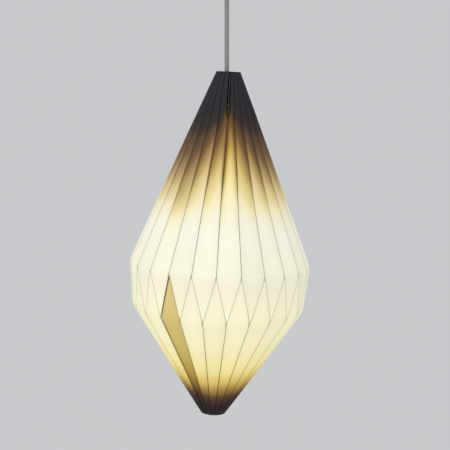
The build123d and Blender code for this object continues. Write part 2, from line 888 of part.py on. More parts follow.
with BuildPart() as holder_wires:
    for side in (-1, 1):
        start = (side * wire_spacing / 2, 0, cord_end)
        with BuildLine():
            FilletPolyline(
                start,
                (side * wire_spacing / 2, 0, cord_end - 2 * wire_bend),
                (side * holder_terminal_spacing / 2, 0, terminal_top + 2 * wire_bend),
                (side * holder_terminal_spacing / 2, 0, terminal_top),
                radius=wire_bend,
            )
        with BuildSketch(wire_section(start)):
            Circle(wire_radius)
        sweep()
export_piece(holder_wires, "holder_wires")

block_foot = bridge_top
block_hole_height = block_foot + block_hole_rise
wire_entry = block_place - block_length / 2


def make_supply_wire(name, side):
    """One wire from the cord's upper end, over the nut and into the terminal block."""
    start = (0, side * wire_spacing / 2, tube_top)
    with BuildPart() as wire:
        with BuildLine():
            FilletPolyline(
                start,
                (0, side * wire_spacing / 2, block_hole_height),
                (wire_entry - wire_bend, side * terminal_spacing / 2, block_hole_height),
                (wire_entry + wire_bend, side * terminal_spacing / 2, block_hole_height),
                radius=wire_bend,
            )
        with BuildSketch(wire_section(start)):
            Circle(wire_radius)
        sweep()
    export_piece(wire, name)


make_supply_wire("live_wire", -1)
make_supply_wire("neutral_wire", 1)

# Terminal block on the bridge, with its wire screws and the screw that holds it
with BuildPart() as terminal_block:
    with BuildSketch(Plane.XY.offset(block_foot)):
        with Locations((block_place, 0)):
            Rectangle(block_length, block_width)
    extrude(amount=block_height)
    with BuildSketch(side_plane.offset(wire_entry)):
        with Locations(
            (-terminal_spacing / 2, block_hole_height),
            (terminal_spacing / 2, block_hole_height),
        ):
            Circle(wire_hole_radius)
    extrude(amount=block_length, mode=Mode.SUBTRACT)
    with BuildSketch(Plane.XY.offset(block_foot + block_height)):
        with Locations((block_place, 0)):
            with GridLocations(terminal_row_spacing, terminal_spacing, 2, 2):
                Circle(terminal_screw_radius)
    extrude(amount=-(block_height - block_hole_rise), mode=Mode.SUBTRACT)
    with BuildSketch(Plane.XY.offset(block_foot)):
        with Locations((block_place, 0)):
            Circle(block_screw_radius)
    extrude(amount=block_height, mode=Mode.SUBTRACT)
    with BuildSketch(Plane.XY.offset(block_foot + block_height)):
        with Locations((block_place, 0)):
            Circle(block_screw_head)
    extrude(amount=-block_head_depth, mode=Mode.SUBTRACT)
    fillet(terminal_block.edges().filter_by(Axis.Z).group_by(SortBy.LENGTH)[-1], edge_break)
export_piece(terminal_block, "terminal_block")

with BuildPart() as terminal_screws:
    screw_plane = Plane.XY.offset(block_foot + block_height)
    for row in (-1, 1):
        for side in (-1, 1):
            place = (block_place + row * terminal_row_spacing / 2, side * terminal_spacing / 2)
            with BuildSketch(screw_plane):
                with Locations(place):
                    Circle(terminal_screw_radius - thread_gap)
            extrude(amount=-(block_height - block_hole_rise - wire_radius - thread_gap))
            with BuildSketch(screw_plane):
                with Locations(place):
                    Rectangle(screw_slot_width, 2 * terminal_screw_radius)
            extrude(amount=-screw_slot_depth, mode=Mode.SUBTRACT)
export_piece(terminal_screws, "terminal_screws")

with BuildPart() as block_screw:
    with BuildSketch(Plane.XY.offset(bridge_foot)):
        with Locations((block_place, 0)):
            Circle(block_screw_radius - thread_gap)
    extrude(amount=block_foot + block_height - block_head_depth - bridge_foot)
    with BuildSketch(Plane.XY.offset(block_foot + block_height - block_head_depth)):
        with Locations((block_place, 0)):
            Circle(block_screw_head - thread_gap)
    extrude(amount=block_head_depth - thread_gap)
export_piece(block_screw, "block_screw")
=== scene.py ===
import json
import logging
import random
from dataclasses import dataclass, field
from enum import Enum
from math import asin, cos, pi, radians, sin, tan
from typing import Any, Callable, Dict, List, Optional, Sequence, Tuple, Union

import bmesh
import bpy
from mathutils import Matrix, Vector, noise


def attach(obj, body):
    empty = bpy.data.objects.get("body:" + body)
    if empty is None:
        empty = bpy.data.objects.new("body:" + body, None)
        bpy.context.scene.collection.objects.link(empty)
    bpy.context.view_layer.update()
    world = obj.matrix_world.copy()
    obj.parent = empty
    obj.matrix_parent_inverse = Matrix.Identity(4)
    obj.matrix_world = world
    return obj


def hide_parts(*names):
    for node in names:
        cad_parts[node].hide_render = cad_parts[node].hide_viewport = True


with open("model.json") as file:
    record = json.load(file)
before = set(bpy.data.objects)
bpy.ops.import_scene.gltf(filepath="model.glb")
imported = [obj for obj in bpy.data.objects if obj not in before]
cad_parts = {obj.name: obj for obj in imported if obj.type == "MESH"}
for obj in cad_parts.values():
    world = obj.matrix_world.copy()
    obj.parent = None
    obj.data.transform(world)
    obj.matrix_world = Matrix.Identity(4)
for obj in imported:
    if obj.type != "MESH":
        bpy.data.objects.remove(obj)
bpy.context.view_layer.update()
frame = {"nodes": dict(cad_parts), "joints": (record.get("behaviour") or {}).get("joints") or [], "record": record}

log = logging.getLogger("paper_pendant")

Colour = Tuple[float, float, float]
Reading = Union["Wire", float]
Stops = Sequence[Tuple[float, Colour]]
Level = Tuple[float, float, float]
Zone = Tuple[float, float]


def eased(value: float, low: float, high: float) -> float:
    """0 where a value is at low or under it, 1 from high on, and smooth between them."""
    share = min(max((value - low) / (high - low), 0.0), 1.0)
    return share * share * (3 - 2 * share)


def between(value: float, start: Zone, end: Zone) -> float:
    """1 after a first zone and before a second one, 0 outside them, and smooth in each."""
    return eased(value, *start) * (1.0 - eased(value, *end))


def painted(red: float, green: float, blue: float) -> Colour:
    """A colour given as it looks on a screen, from 0 to 255, in linear light."""
    return tuple(((part / 255 + 0.055) / 1.055) ** 2.4 for part in (red, green, blue))


def toned(colour: Colour, share: float) -> Colour:
    """A colour scaled by a share."""
    return tuple(share * part for part in colour)


class Body(Enum):
    """The moving bodies of the lamp."""

    CEILING = "ceiling"
    NECK = "neck"
    PENDANT = "pendant"
    CARRIER = "carrier"
    SHADE = "shade"
    BULB_TRAVEL = "bulb_travel"
    BULB = "bulb"


class Slot(Enum):
    """The material slots of the record."""

    PAPER = "paper"
    CARD = "card"
    THREAD = "thread"
    CORD_SHEATH = "cord_sheath"
    WHITE_PLASTIC = "white_plastic"
    CUP_PAINT = "cup_paint"
    ZINC_STEEL = "zinc_steel"
    CERAMIC = "ceramic"
    BRASS = "brass"
    NICKEL = "nickel"
    DARK_GLASS = "dark_glass"
    BULB_WHITE = "bulb_white"
    OPAL = "opal"
    BOARD = "board"
    PHOSPHOR = "phosphor"
    BROWN_WIRE = "brown_wire"
    BLUE_WIRE = "blue_wire"
    WHITE_WIRE = "white_wire"


class Wire:
    """One output of a shader node, so that sums and products can be written with it."""

    def __init__(self, tree: bpy.types.NodeTree, socket: bpy.types.NodeSocket) -> None:
        """Keep the node tree and the socket."""
        self.tree = tree
        self.socket = socket

    def node(
        self, kind: str, settings: Dict[str, Any], inputs: Dict[Any, Any], output: Any = 0
    ) -> "Wire":
        """Add a node to this wire's tree.

        Args:
            kind: The node's type.
            settings: Its settings, which are set first. A ramp's stops are (place, colour) pairs.
            inputs: Values or wires of its sockets, by name or number.
            output: The output that is wanted.

        Returns:
            The wire that leaves the node.
        """
        made = self.tree.nodes.new(kind)
        for name, value in settings.items():
            if name == "stops":
                self._set_stops(made.color_ramp, value)
            elif name == "ease":
                made.color_ramp.interpolation = value
            else:
                setattr(made, name, value)
        for name, value in inputs.items():
            if isinstance(value, Wire):
                self.tree.links.new(value.socket, made.inputs[name])
            else:
                made.inputs[name].default_value = value
        return Wire(self.tree, made.outputs[output])

    @staticmethod
    def _set_stops(ramp: bpy.types.ColorRamp, stops: Stops) -> None:
        """Give a ramp its stops.

        Args:
            ramp: The new ramp.
            stops: Places from 0 to 1 with their colours, in order.
        """
        for place, _ in stops[1:-1]:
            ramp.elements.new(place)
        for element, (place, colour) in zip(ramp.elements, stops):
            element.position = place
            element.color = (*colour, 1.0)

    def _math(self, operation: str, first: Reading, second: Reading) -> "Wire":
        """Add a Math node on two readings."""
        return self.node("ShaderNodeMath", {"operation": operation}, {0: first, 1: second})

    def __add__(self, other: Reading) -> "Wire":
        """This reading plus another."""
        return self._math("ADD", self, other)

    def __radd__(self, other: float) -> "Wire":
        """A number plus this reading."""
        return self._math("ADD", other, self)

    def __sub__(self, other: Reading) -> "Wire":
        """This reading less another."""
        return self._math("SUBTRACT", self, other)

    def __rsub__(self, other: float) -> "Wire":
        """A number less this reading."""
        return self._math("SUBTRACT", other, self)

    def __mul__(self, other: Reading) -> "Wire":
        """This reading times another."""
        return self._math("MULTIPLY", self, other)

    def __rmul__(self, other: float) -> "Wire":
        """A number times this reading."""
        return self._math("MULTIPLY", other, self)

    def __truediv__(self, other: Reading) -> "Wire":
        """This reading over another."""
        return self._math("DIVIDE", self, other)

    def __pow__(self, other: Reading) -> "Wire":
        """This reading raised to a power."""
        return self._math("POWER", self, other)

    def larger(self, other: Reading) -> "Wire":
        """The larger of this reading and another."""
        return self._math("MAXIMUM", self, other)

    def fade(self, low: float, high: float) -> "Wire":
        """0 where this reading is at low or under it, 1 from high on, and smooth between them."""
        inputs = {"Value": self, "From Min": low, "From Max": high}
        return self.node("ShaderNodeMapRange", {"interpolation_type": "SMOOTHSTEP"}, inputs)

    def tint(self, start: Any, end: Any) -> "Wire":
        """Mix two colours by this reading.

        Args:
            start: Colour or wire where the reading is 0.
            end: Colour or wire where the reading is 1.

        Returns:
            The mixed colour.
        """
        first, last = [(*c, 1.0) if isinstance(c, tuple) else c for c in (start, end)]
        return self.node("ShaderNodeMix", {"data_type": "RGBA"}, {0: self, 6: first, 7: last}, 2)

    def painted_light(self, strength: Reading) -> "Wire":
        """This colour scaled by a reading, which paints light or shade on it."""
        inputs = {0: self, "Scale": strength}
        return self.node("ShaderNodeVectorMath", {"operation": "SCALE"}, inputs)


class Bench:
    """A new material, with its node tree ready for a finish."""

    def __init__(self, name: str, plain: Colour) -> None:
        """Start a material.

        Args:
            name: The material's name.
            plain: Its flat colour in the viewport.
        """
        self.material = bpy.data.materials.new(name)
        self.material.use_nodes = True
        self.material.diffuse_color = (*plain, 1.0)
        self.tree = self.material.node_tree
        self.shader = next(n for n in self.tree.nodes if n.type == "BSDF_PRINCIPLED")
        places = self.tree.nodes.new("ShaderNodeTexCoord")
        self.place = Wire(self.tree, places.outputs["Object"])

    def attribute(self, name: str) -> Wire:
        """A number that the mesh carries at each of its points."""
        return self.place.node("ShaderNodeAttribute", {"attribute_name": name}, {}, "Fac")

    def stretched(self, scale: Tuple[float, float, float]) -> Wire:
        """The object coordinates, scaled along each axis."""
        return self.place.node("ShaderNodeMapping", {}, {"Vector": self.place, "Scale": scale})

    def cloud(self, size: float, detail: float = 3.0, where: Optional[Wire] = None) -> Wire:
        """Noise from 0 to 1.

        Args:
            size: Rough size of its patches, in metres.
            detail: Number of finer layers.
            where: Coordinates, or None for the object's own.

        Returns:
            The noise.
        """
        inputs = {"Vector": where or self.place, "Scale": 1.0 / size, "Detail": detail}
        return self.place.node("ShaderNodeTexNoise", {}, inputs)

    def cells(self, size: float) -> Wire:
        """Distance to the middle of the nearest of cells of about this size, in metres."""
        inputs = {"Vector": self.place, "Scale": 1.0 / size}
        return self.place.node("ShaderNodeTexVoronoi", {}, inputs, "Distance")

    def relief(self, height: Wire, depth: float, strength: float) -> Wire:
        """Bump from a height reading, at a depth in metres."""
        inputs = {"Height": height, "Distance": depth, "Strength": strength}
        return self.place.node("ShaderNodeBump", {}, inputs)

    def set(self, **sockets: Any) -> bpy.types.Material:
        """Set or link the shader's sockets.

        Args:
            sockets: Values or wires, by socket name with _ for a space.

        Returns:
            The material.
        """
        for name, value in sockets.items():
            socket = self.shader.inputs[name.replace("_", " ")]
            if isinstance(value, Wire):
                self.tree.links.new(value.socket, socket)
            elif isinstance(value, tuple) and len(value) == 3:
                socket.default_value = (*value, 1.0)
            else:
                socket.default_value = value
        return self.material


@dataclass(frozen=True)
class Finish:
    """A finish, with the name of its material and its main colour."""

    name: str
    colour: Colour

    def make(self) -> bpy.types.Material:
        """Build the material."""
        bench = Bench(self.name, self.colour)
        return bench.set(**self.sockets(bench))

    def sockets(self, bench: Bench) -> Dict[str, Any]:
        """What the shader's sockets are given, by socket name with _ for a space."""
        raise NotImplementedError


@dataclass(frozen=True)
class LitPaper(Finish):
    """Creased paper that a bulb shines through, from a dark top over gold to near white and back.

    Its stops are heights from the upper waist points, in metres, with the colour of the painted light there: the
    bulb's glow through the paper, and painted shade on the unlit ends.
    """

    name: str = "lit_creased_paper"
    colour: Colour = (0.90, 0.85, 0.66)
    # Colour of the painted shade at lit seams.
    seam_shade_brown: Colour = painted(128, 92, 38)
    # Tint of the painted light on the far strips.
    far_strip_light: Colour = (1.06, 1.0, 0.90)
    low_end: float = -0.2052
    high_end: float = 0.2526
    foot_light: Zone = (-0.182, -0.150)
    head_light: Zone = (0.165, 0.205)
    soft_seams: Zone = (0.080, 0.130)
    fine_line: Zone = (0.0001, 0.0009)
    soft_line: Zone = (0.0002, 0.0024)
    fold_edge: Zone = (-0.0016, 0.0001)
    glow_share: float = 0.38
    under_glow: float = 0.25
    # Painted light of single paper: dark unlit ends, then gold, then near white where the bulb shines through.
    single: Stops = (
        (-0.2052, painted(46, 38, 36)),
        (-0.1830, painted(66, 49, 38)),
        (-0.1700, painted(128, 98, 54)),
        (-0.1550, painted(203, 174, 92)),
        (-0.1350, painted(243, 226, 150)),
        (-0.0950, painted(251, 243, 196)),
        (0.0350, painted(252, 249, 228)),
        (0.0850, painted(250, 246, 212)),
        (0.1200, painted(246, 230, 170)),
        (0.1500, painted(216, 189, 108)),
        (0.1750, painted(148, 114, 60)),
        (0.1950, painted(84, 63, 42)),
        (0.2150, painted(50, 44, 45)),
        (0.2526, painted(46, 44, 56)),
    )
    # Painted light of the doubled strip, darker because less light gets through two layers.
    double: Stops = (
        (-0.2052, painted(44, 36, 34)),
        (-0.1850, painted(58, 43, 33)),
        (-0.1680, painted(100, 70, 35)),
        (-0.1450, painted(163, 132, 58)),
        (-0.1200, painted(195, 171, 88)),
        (-0.0350, painted(220, 198, 128)),
        (0.0050, painted(222, 200, 138)),
    )

    def _along(self, level: Wire, stops: Stops) -> Wire:
        """Painted light along the shade's height.

        Args:
            level: Height of each point, in metres.
            stops: Heights with their colours.

        Returns:
            The colour.
        """
        span = self.high_end - self.low_end
        places = [((height - self.low_end) / span, colour) for height, colour in stops]
        share = (level - self.low_end) / span
        return level.node(
            "ShaderNodeValToRGB", {"stops": places, "ease": "CARDINAL"}, {"Fac": share}
        )

    def _paper(self, bench: Bench, level: Wire) -> Wire:
        """Painted light of the paper: paler on the far strips, and darker where it is doubled and less light gets
        through.

        Args:
            bench: The new material.
            level: Height of each point, moved where its strip is dimmer or brighter.

        Returns:
            The colour.
        """
        single = self._along(level, self.single)
        grey = level.node("ShaderNodeRGBToBW", {}, {"Color": single})
        far_lit = grey.tint((0.0, 0.0, 0.0), self.far_strip_light)
        plain = bench.attribute("pale").tint(single, far_lit)
        return bench.attribute("layers").tint(plain, self._along(level, self.double))

    def _line(self, gap: Wire, lit: Wire, soft: Wire) -> Wire:
        """Painted shade at the seams, a fine line with a soft one round it in the upper cone.

        Args:
            gap: Distance from the nearest seam, in metres.
            lit: How much light the paper has.
            soft: How much of the soft line there is.

        Returns:
            The darkness, from 0 to 1.
        """
        fine = (1.0 - gap.fade(*self.fine_line)) * (0.05 + lit * 0.31)
        return fine + (1.0 - gap.fade(*self.soft_line)) * soft * lit * 0.24

    def sockets(self, bench: Bench) -> Dict[str, Any]:
        """Paint the bulb's light along the shade's height, with painted shade at its seams and folds and a painted
        glow.

        Args:
            bench: The new material.

        Returns:
            The shader's sockets.
        """
        rise = bench.attribute("rise")
        gap = bench.attribute("seam_gap")
        fibre = bench.cloud(0.004, 6.0)
        blotch = bench.cloud(0.03, 2.0)
        grain = bench.cloud(0.0006, 2.0)
        level = rise + bench.attribute("dim") + (blotch - 0.5) * 0.008
        lit = level.fade(*self.foot_light) * (1.0 - level.fade(*self.head_light))
        soft = rise.fade(*self.soft_seams)
        line = self._line(gap, lit, soft)
        # Painted shade inside the folds.
        inside = 1.0 - gap.fade(*self.fold_edge)
        # Painted shade towards a strip's seams, where it arches away.
        hollow = (1.0 - bench.attribute("middle")) ** 2.4 * 0.06
        mottle = (fibre - 0.5) * 0.07 + (blotch - 0.5) * 0.05
        mottle = mottle + bench.attribute("tone") * 0.025 + 1.0
        # Painted shadow along the glued edge of each sheet.
        lap = bench.attribute("lap").fade(0.30, 0.75)
        # Painted dark spots where the seams meet at the waist.
        spot = bench.attribute("node") ** 1.2 * 0.62
        shade = (1.0 - line) * (1.0 - hollow) * (1.0 - spot) * mottle
        shade = shade * (1.0 - inside * 0.62) * (1.0 - lap * 0.78)
        paper = self._paper(bench, level).painted_light(shade)
        # Painted warm shade at the seams where the paper is lit.
        painted_light = (line * soft * lit).tint(paper, self.seam_shade_brown)
        # Painted glow of the bulb shining through the paper.
        glow = lit * self.glow_share * (1.0 - inside)
        under = 1.0 + (1.0 - rise.fade(-0.090, 0.0)) * self.under_glow
        return {
            "Base_Color": painted_light.painted_light(1.0 - glow),
            "Roughness": 0.80 + (grain - 0.5) * 0.12,
            "Specular_IOR_Level": 0.2,
            "Emission_Color": painted_light.painted_light(glow * under),
            "Emission_Strength": 1.0,
            "Normal": bench.relief(fibre * 0.7 + grain * 0.3, 0.00012, 0.5),
        }


@dataclass(frozen=True)
class Card(Finish):
    """Grey board with long fibres."""

    name: str = "grey_board"
    colour: Colour = (0.52, 0.48, 0.40)

    def sockets(self, bench: Bench) -> Dict[str, Any]:
        """Streak the board with its fibres.

        Args:
            bench: The new material.

        Returns:
            The shader's sockets.
        """
        fibre = bench.cloud(0.0012, 5.0, bench.stretched((1.0, 0.3, 1.0)))
        speck = bench.cells(0.0018)
        streaks = fibre.fade(0.30, 0.75) * 0.8 + speck.fade(0.0, 0.25) * 0.2
        return {
            "Base_Color": streaks.tint(toned(self.colour, 0.72), self.colour),
            "Roughness": 0.88 + (fibre - 0.5) * 0.1,
            "Normal": bench.relief(fibre, 0.0001, 0.6),
        }


@dataclass(frozen=True)
class Thread(Finish):
    """Waxed cotton thread with its twist."""

    name: str = "waxed_thread"
    colour: Colour = painted(92, 80, 63)

    def sockets(self, bench: Bench) -> Dict[str, Any]:
        """Twist the thread, and darken it where it lies in the shade.

        Args:
            bench: The new material.

        Returns:
            The shader's sockets.
        """
        twist = bench.cloud(0.0004, 3.0, bench.stretched((1.0, 1.0, 0.45)))
        mixed = twist.fade(0.3, 0.7).tint(toned(self.colour, 0.55), self.colour)
        return {
            "Base_Color": mixed.painted_light(1.0 - bench.attribute("shaded") * 0.6),
            "Roughness": 0.62 + (twist - 0.5) * 0.2,
            "Sheen_Weight": 0.3,
            "Normal": bench.relief(twist, 0.00008, 0.8),
        }


@dataclass(frozen=True)
class Sheath(Finish):
    """Satin flexible sheath of a cord or wire, with drawing marks along it."""

    roughness: float = 0.45

    def sockets(self, bench: Bench) -> Dict[str, Any]:
        """Draw fine marks along the sheath, with a little dust.

        Args:
            bench: The new material.

        Returns:
            The shader's sockets.
        """
        marks = bench.cloud(0.0011, 3.0, bench.stretched((1.0, 1.0, 0.04)))
        dust = bench.cloud(0.012, 4.0)
        worn = (marks * 0.6 + dust * 0.4).fade(0.30, 0.60)
        return {
            "Base_Color": worn.tint(toned(self.colour, 0.86), self.colour),
            "Roughness": self.roughness + (dust - 0.5) * 0.2,
            "Normal": bench.relief(marks, 0.00005, 0.35),
        }


@dataclass(frozen=True)
class Moulding(Finish):
    """Moulded plastic with a fine eroded grain and slight flow marks."""

    roughness: float = 0.42
    grain: float = 0.0007

    def sockets(self, bench: Bench) -> Dict[str, Any]:
        """Grain the plastic and let it show how it flowed.

        Args:
            bench: The new material.

        Returns:
            The shader's sockets.
        """
        grain = bench.cloud(self.grain, 2.0)
        flow = bench.cloud(0.014, 3.0, bench.stretched((1.0, 1.0, 0.5)))
        return {
            "Base_Color": flow.fade(0.25, 0.70).tint(toned(self.colour, 0.92), self.colour),
            "Roughness": self.roughness + (flow - 0.5) * 0.16 + (grain - 0.5) * 0.10,
            "Normal": bench.relief(grain, 0.00003, 0.5),
        }


@dataclass(frozen=True)
class PowderCoat(Finish):
    """Baked paint on metal with the dimples of orange peel."""

    name: str = "cup_powder_coat"
    colour: Colour = (0.76, 0.76, 0.74)

    def sockets(self, bench: Bench) -> Dict[str, Any]:
        """Dimple the paint, with a few flecks of dust in it.

        Args:
            bench: The new material.

        Returns:
            The shader's sockets.
        """
        peel = bench.cloud(0.0016, 1.0)
        cloud = bench.cloud(0.03, 3.0)
        dust = bench.cells(0.004).fade(0.02, 0.07)
        paint = cloud.fade(0.3, 0.7).tint(toned(self.colour, 0.93), self.colour)
        return {
            "Base_Color": dust.tint(toned(self.colour, 0.82), paint),
            "Roughness": 0.36 + (cloud - 0.5) * 0.14,
            "Coat_Weight": 0.15,
            "Normal": bench.relief(peel, 0.00006, 0.5),
        }


@dataclass(frozen=True)
class Metal(Finish):
    """Bare or plated metal with rolling marks and a little tarnish."""

    tarnish: Colour
    roughness: float = 0.34
    along: Tuple[float, float, float] = (0.12, 1.0, 1.0)
    spangle: float = 0.0

    def sockets(self, bench: Bench) -> Dict[str, Any]:
        """Mark the metal along its rolling, stain it and let the plating's crystals show.

        Args:
            bench: The new material.

        Returns:
            The shader's sockets.
        """
        marks = bench.cloud(0.0006, 4.0, bench.stretched(self.along))
        stain = bench.cloud(0.006, 5.0)
        crystals = bench.cells(0.0035).fade(0.0, 0.6)
        worn = stain.fade(0.45, 0.78) * 0.75 + crystals * self.spangle
        return {
            "Base_Color": worn.tint(self.colour, self.tarnish),
            "Metallic": 1.0,
            "Roughness": self.roughness + (marks - 0.5) * 0.22 + worn * 0.12,
            "Normal": bench.relief(marks, 0.00002, 0.5),
        }


@dataclass(frozen=True)
class Glaze(Finish):
    """Glazed ceramic with pinholes and a slightly pooled glaze."""

    name: str = "white_glaze"
    colour: Colour = (0.80, 0.79, 0.75)
    pooled: Colour = (0.70, 0.67, 0.58)
    pinhole: Colour = (0.45, 0.40, 0.32)

    def sockets(self, bench: Bench) -> Dict[str, Any]:
        """Pool the glaze and prick it with pinholes.

        Args:
            bench: The new material.

        Returns:
            The shader's sockets.
        """
        pool = bench.cloud(0.008, 3.0)
        pin = bench.cells(0.0035).fade(0.03, 0.08)
        glaze = pool.fade(0.3, 0.7).tint(self.pooled, self.colour)
        return {
            "Base_Color": pin.tint(self.pinhole, glaze),
            "Roughness": 0.16 + (pool - 0.5) * 0.12,
            "Coat_Weight": 0.5,
            "Normal": bench.relief(pool + pin * 0.3, 0.0001, 0.25),
        }


@dataclass(frozen=True)
class BlackGlass(Finish):
    """Pressed black glass of the cap's insulator."""

    name: str = "black_glass"
    colour: Colour = (0.012, 0.012, 0.015)
    clear: Colour = (0.03, 0.03, 0.04)

    def sockets(self, bench: Bench) -> Dict[str, Any]:
        """Ripple the glass.

        Args:
            bench: The new material.

        Returns:
            The shader's sockets.
        """
        ripple = bench.cloud(0.003, 2.0)
        return {
            "Base_Color": ripple.fade(0.3, 0.8).tint(self.colour, self.clear),
            "Roughness": 0.10 + ripple * 0.08,
            "Normal": bench.relief(ripple, 0.00006, 0.4),
        }


@dataclass(frozen=True)
class Opal(Finish):
    """Frosted diffuser of the lit bulb."""

    name: str = "opal_diffuser"
    colour: Colour = (0.60, 0.58, 0.52)
    glow: Colour = (0.36, 0.33, 0.24)

    def sockets(self, bench: Bench) -> Dict[str, Any]:
        """Frost the diffuser and give it its glow.

        Args:
            bench: The new material.

        Returns:
            The shader's sockets.
        """
        frost = bench.cloud(0.0008, 3.0)
        patch = bench.cloud(0.02, 2.0).fade(0.3, 0.7)
        return {
            "Base_Color": patch.tint(toned(self.colour, 0.95), self.colour),
            "Roughness": 0.52 + (frost - 0.5) * 0.2,
            "Emission_Color": patch.tint(toned(self.glow, 0.88), self.glow),
            "Emission_Strength": 1.0,
            "Normal": bench.relief(frost, 0.00003, 0.4),
        }


@dataclass(frozen=True)
class Lacquer(Finish):
    """White solder lacquer over the copper of the board."""

    name: str = "board_lacquer"
    colour: Colour = (0.78, 0.79, 0.78)
    land: Colour = (0.70, 0.66, 0.55)

    def sockets(self, bench: Bench) -> Dict[str, Any]:
        """Let the copper lands show through the lacquer.

        Args:
            bench: The new material.

        Returns:
            The shader's sockets.
        """
        lands = bench.cells(0.006).fade(0.10, 0.16)
        grain = bench.cloud(0.0005, 2.0)
        return {
            "Base_Color": lands.tint(self.land, self.colour),
            "Roughness": 0.30 + (grain - 0.5) * 0.2,
            "Coat_Weight": 0.2,
            "Normal": bench.relief(lands + grain * 0.2, 0.00005, 0.5),
        }


@dataclass(frozen=True)
class Phosphor(Finish):
    """Yellow resin over the light chips."""

    name: str = "chip_phosphor"
    colour: Colour = (0.78, 0.58, 0.10)
    settled: Colour = (0.66, 0.44, 0.05)

    def sockets(self, bench: Bench) -> Dict[str, Any]:
        """Fill the resin with fine grains.

        Args:
            bench: The new material.

        Returns:
            The shader's sockets.
        """
        grains = bench.cloud(0.0002, 4.0)
        return {
            "Base_Color": grains.fade(0.3, 0.7).tint(self.settled, self.colour),
            "Roughness": 0.30 + grains * 0.1,
            "Coat_Weight": 0.4,
            "Normal": bench.relief(grains, 0.00002, 0.5),
        }


FINISHES: Dict[Slot, Finish] = {
    Slot.PAPER: LitPaper(),
    Slot.CARD: Card(),
    Slot.THREAD: Thread(),
    Slot.CORD_SHEATH: Sheath("grey_cord_sheath", painted(140, 138, 134)),
    Slot.WHITE_PLASTIC: Moulding("white_moulding", (0.74, 0.74, 0.72)),
    Slot.CUP_PAINT: PowderCoat(),
    Slot.ZINC_STEEL: Metal(
        "zinc_plate", (0.66, 0.67, 0.69), (0.46, 0.47, 0.50), 0.36, spangle=0.25
    ),
    Slot.CERAMIC: Glaze(),
    Slot.BRASS: Metal("bare_brass", (0.78, 0.60, 0.28), (0.42, 0.28, 0.12), 0.30),
    Slot.NICKEL: Metal(
        "nickel_plate", (0.70, 0.68, 0.64), (0.48, 0.46, 0.42), 0.22, (1.0, 1.0, 0.12)
    ),
    Slot.DARK_GLASS: BlackGlass(),
    Slot.BULB_WHITE: Moulding("bulb_housing_white", (0.78, 0.78, 0.76), 0.34, 0.0005),
    Slot.OPAL: Opal(),
    Slot.BOARD: Lacquer(),
    Slot.PHOSPHOR: Phosphor(),
    Slot.BROWN_WIRE: Sheath("brown_wire_sheath", (0.13, 0.055, 0.025), 0.38),
    Slot.BLUE_WIRE: Sheath("blue_wire_sheath", (0.025, 0.10, 0.38), 0.38),
    Slot.WHITE_WIRE: Sheath("white_wire_sheath", (0.68, 0.68, 0.66), 0.38),
}
MATERIALS = {slot: finish.make() for slot, finish in FINISHES.items()}


def add_piece(
    name: str,
    data: Union[bpy.types.Mesh, bpy.types.Curve],
    body: Body,
    slot: Slot,
    stands_for: Sequence[str] = (),
) -> bpy.types.Object:
    """Add a finished piece to the scene.

    Args:
        name: The piece's name.
        data: Its mesh or curve, placed in the frame.
        body: The body that it moves with.
        slot: Its material slot.
        stands_for: CAD nodes that it replaces.

    Returns:
        The piece.
    """
    piece = bpy.data.objects.new(name, data)
    bpy.context.scene.collection.objects.link(piece)
    data.materials.append(MATERIALS[slot])
    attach(piece, body.value)
    if stands_for:
        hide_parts(*stands_for)
    log.info("piece %s on %s, finish %s", name, body.value, slot.value)
    return piece


def to_mesh(name: str, shape: bmesh.types.BMesh, smooth: bool = True) -> bpy.types.Mesh:
    """Turn a finished bmesh into a mesh and free it.

    Args:
        name: The mesh's name.
        shape: The bmesh.
        smooth: Whether its faces are shaded smooth.

    Returns:
        The mesh.
    """
    for face in shape.faces:
        face.smooth = smooth
    data = bpy.data.meshes.new(name)
    shape.to_mesh(data)
    shape.free()
    return data


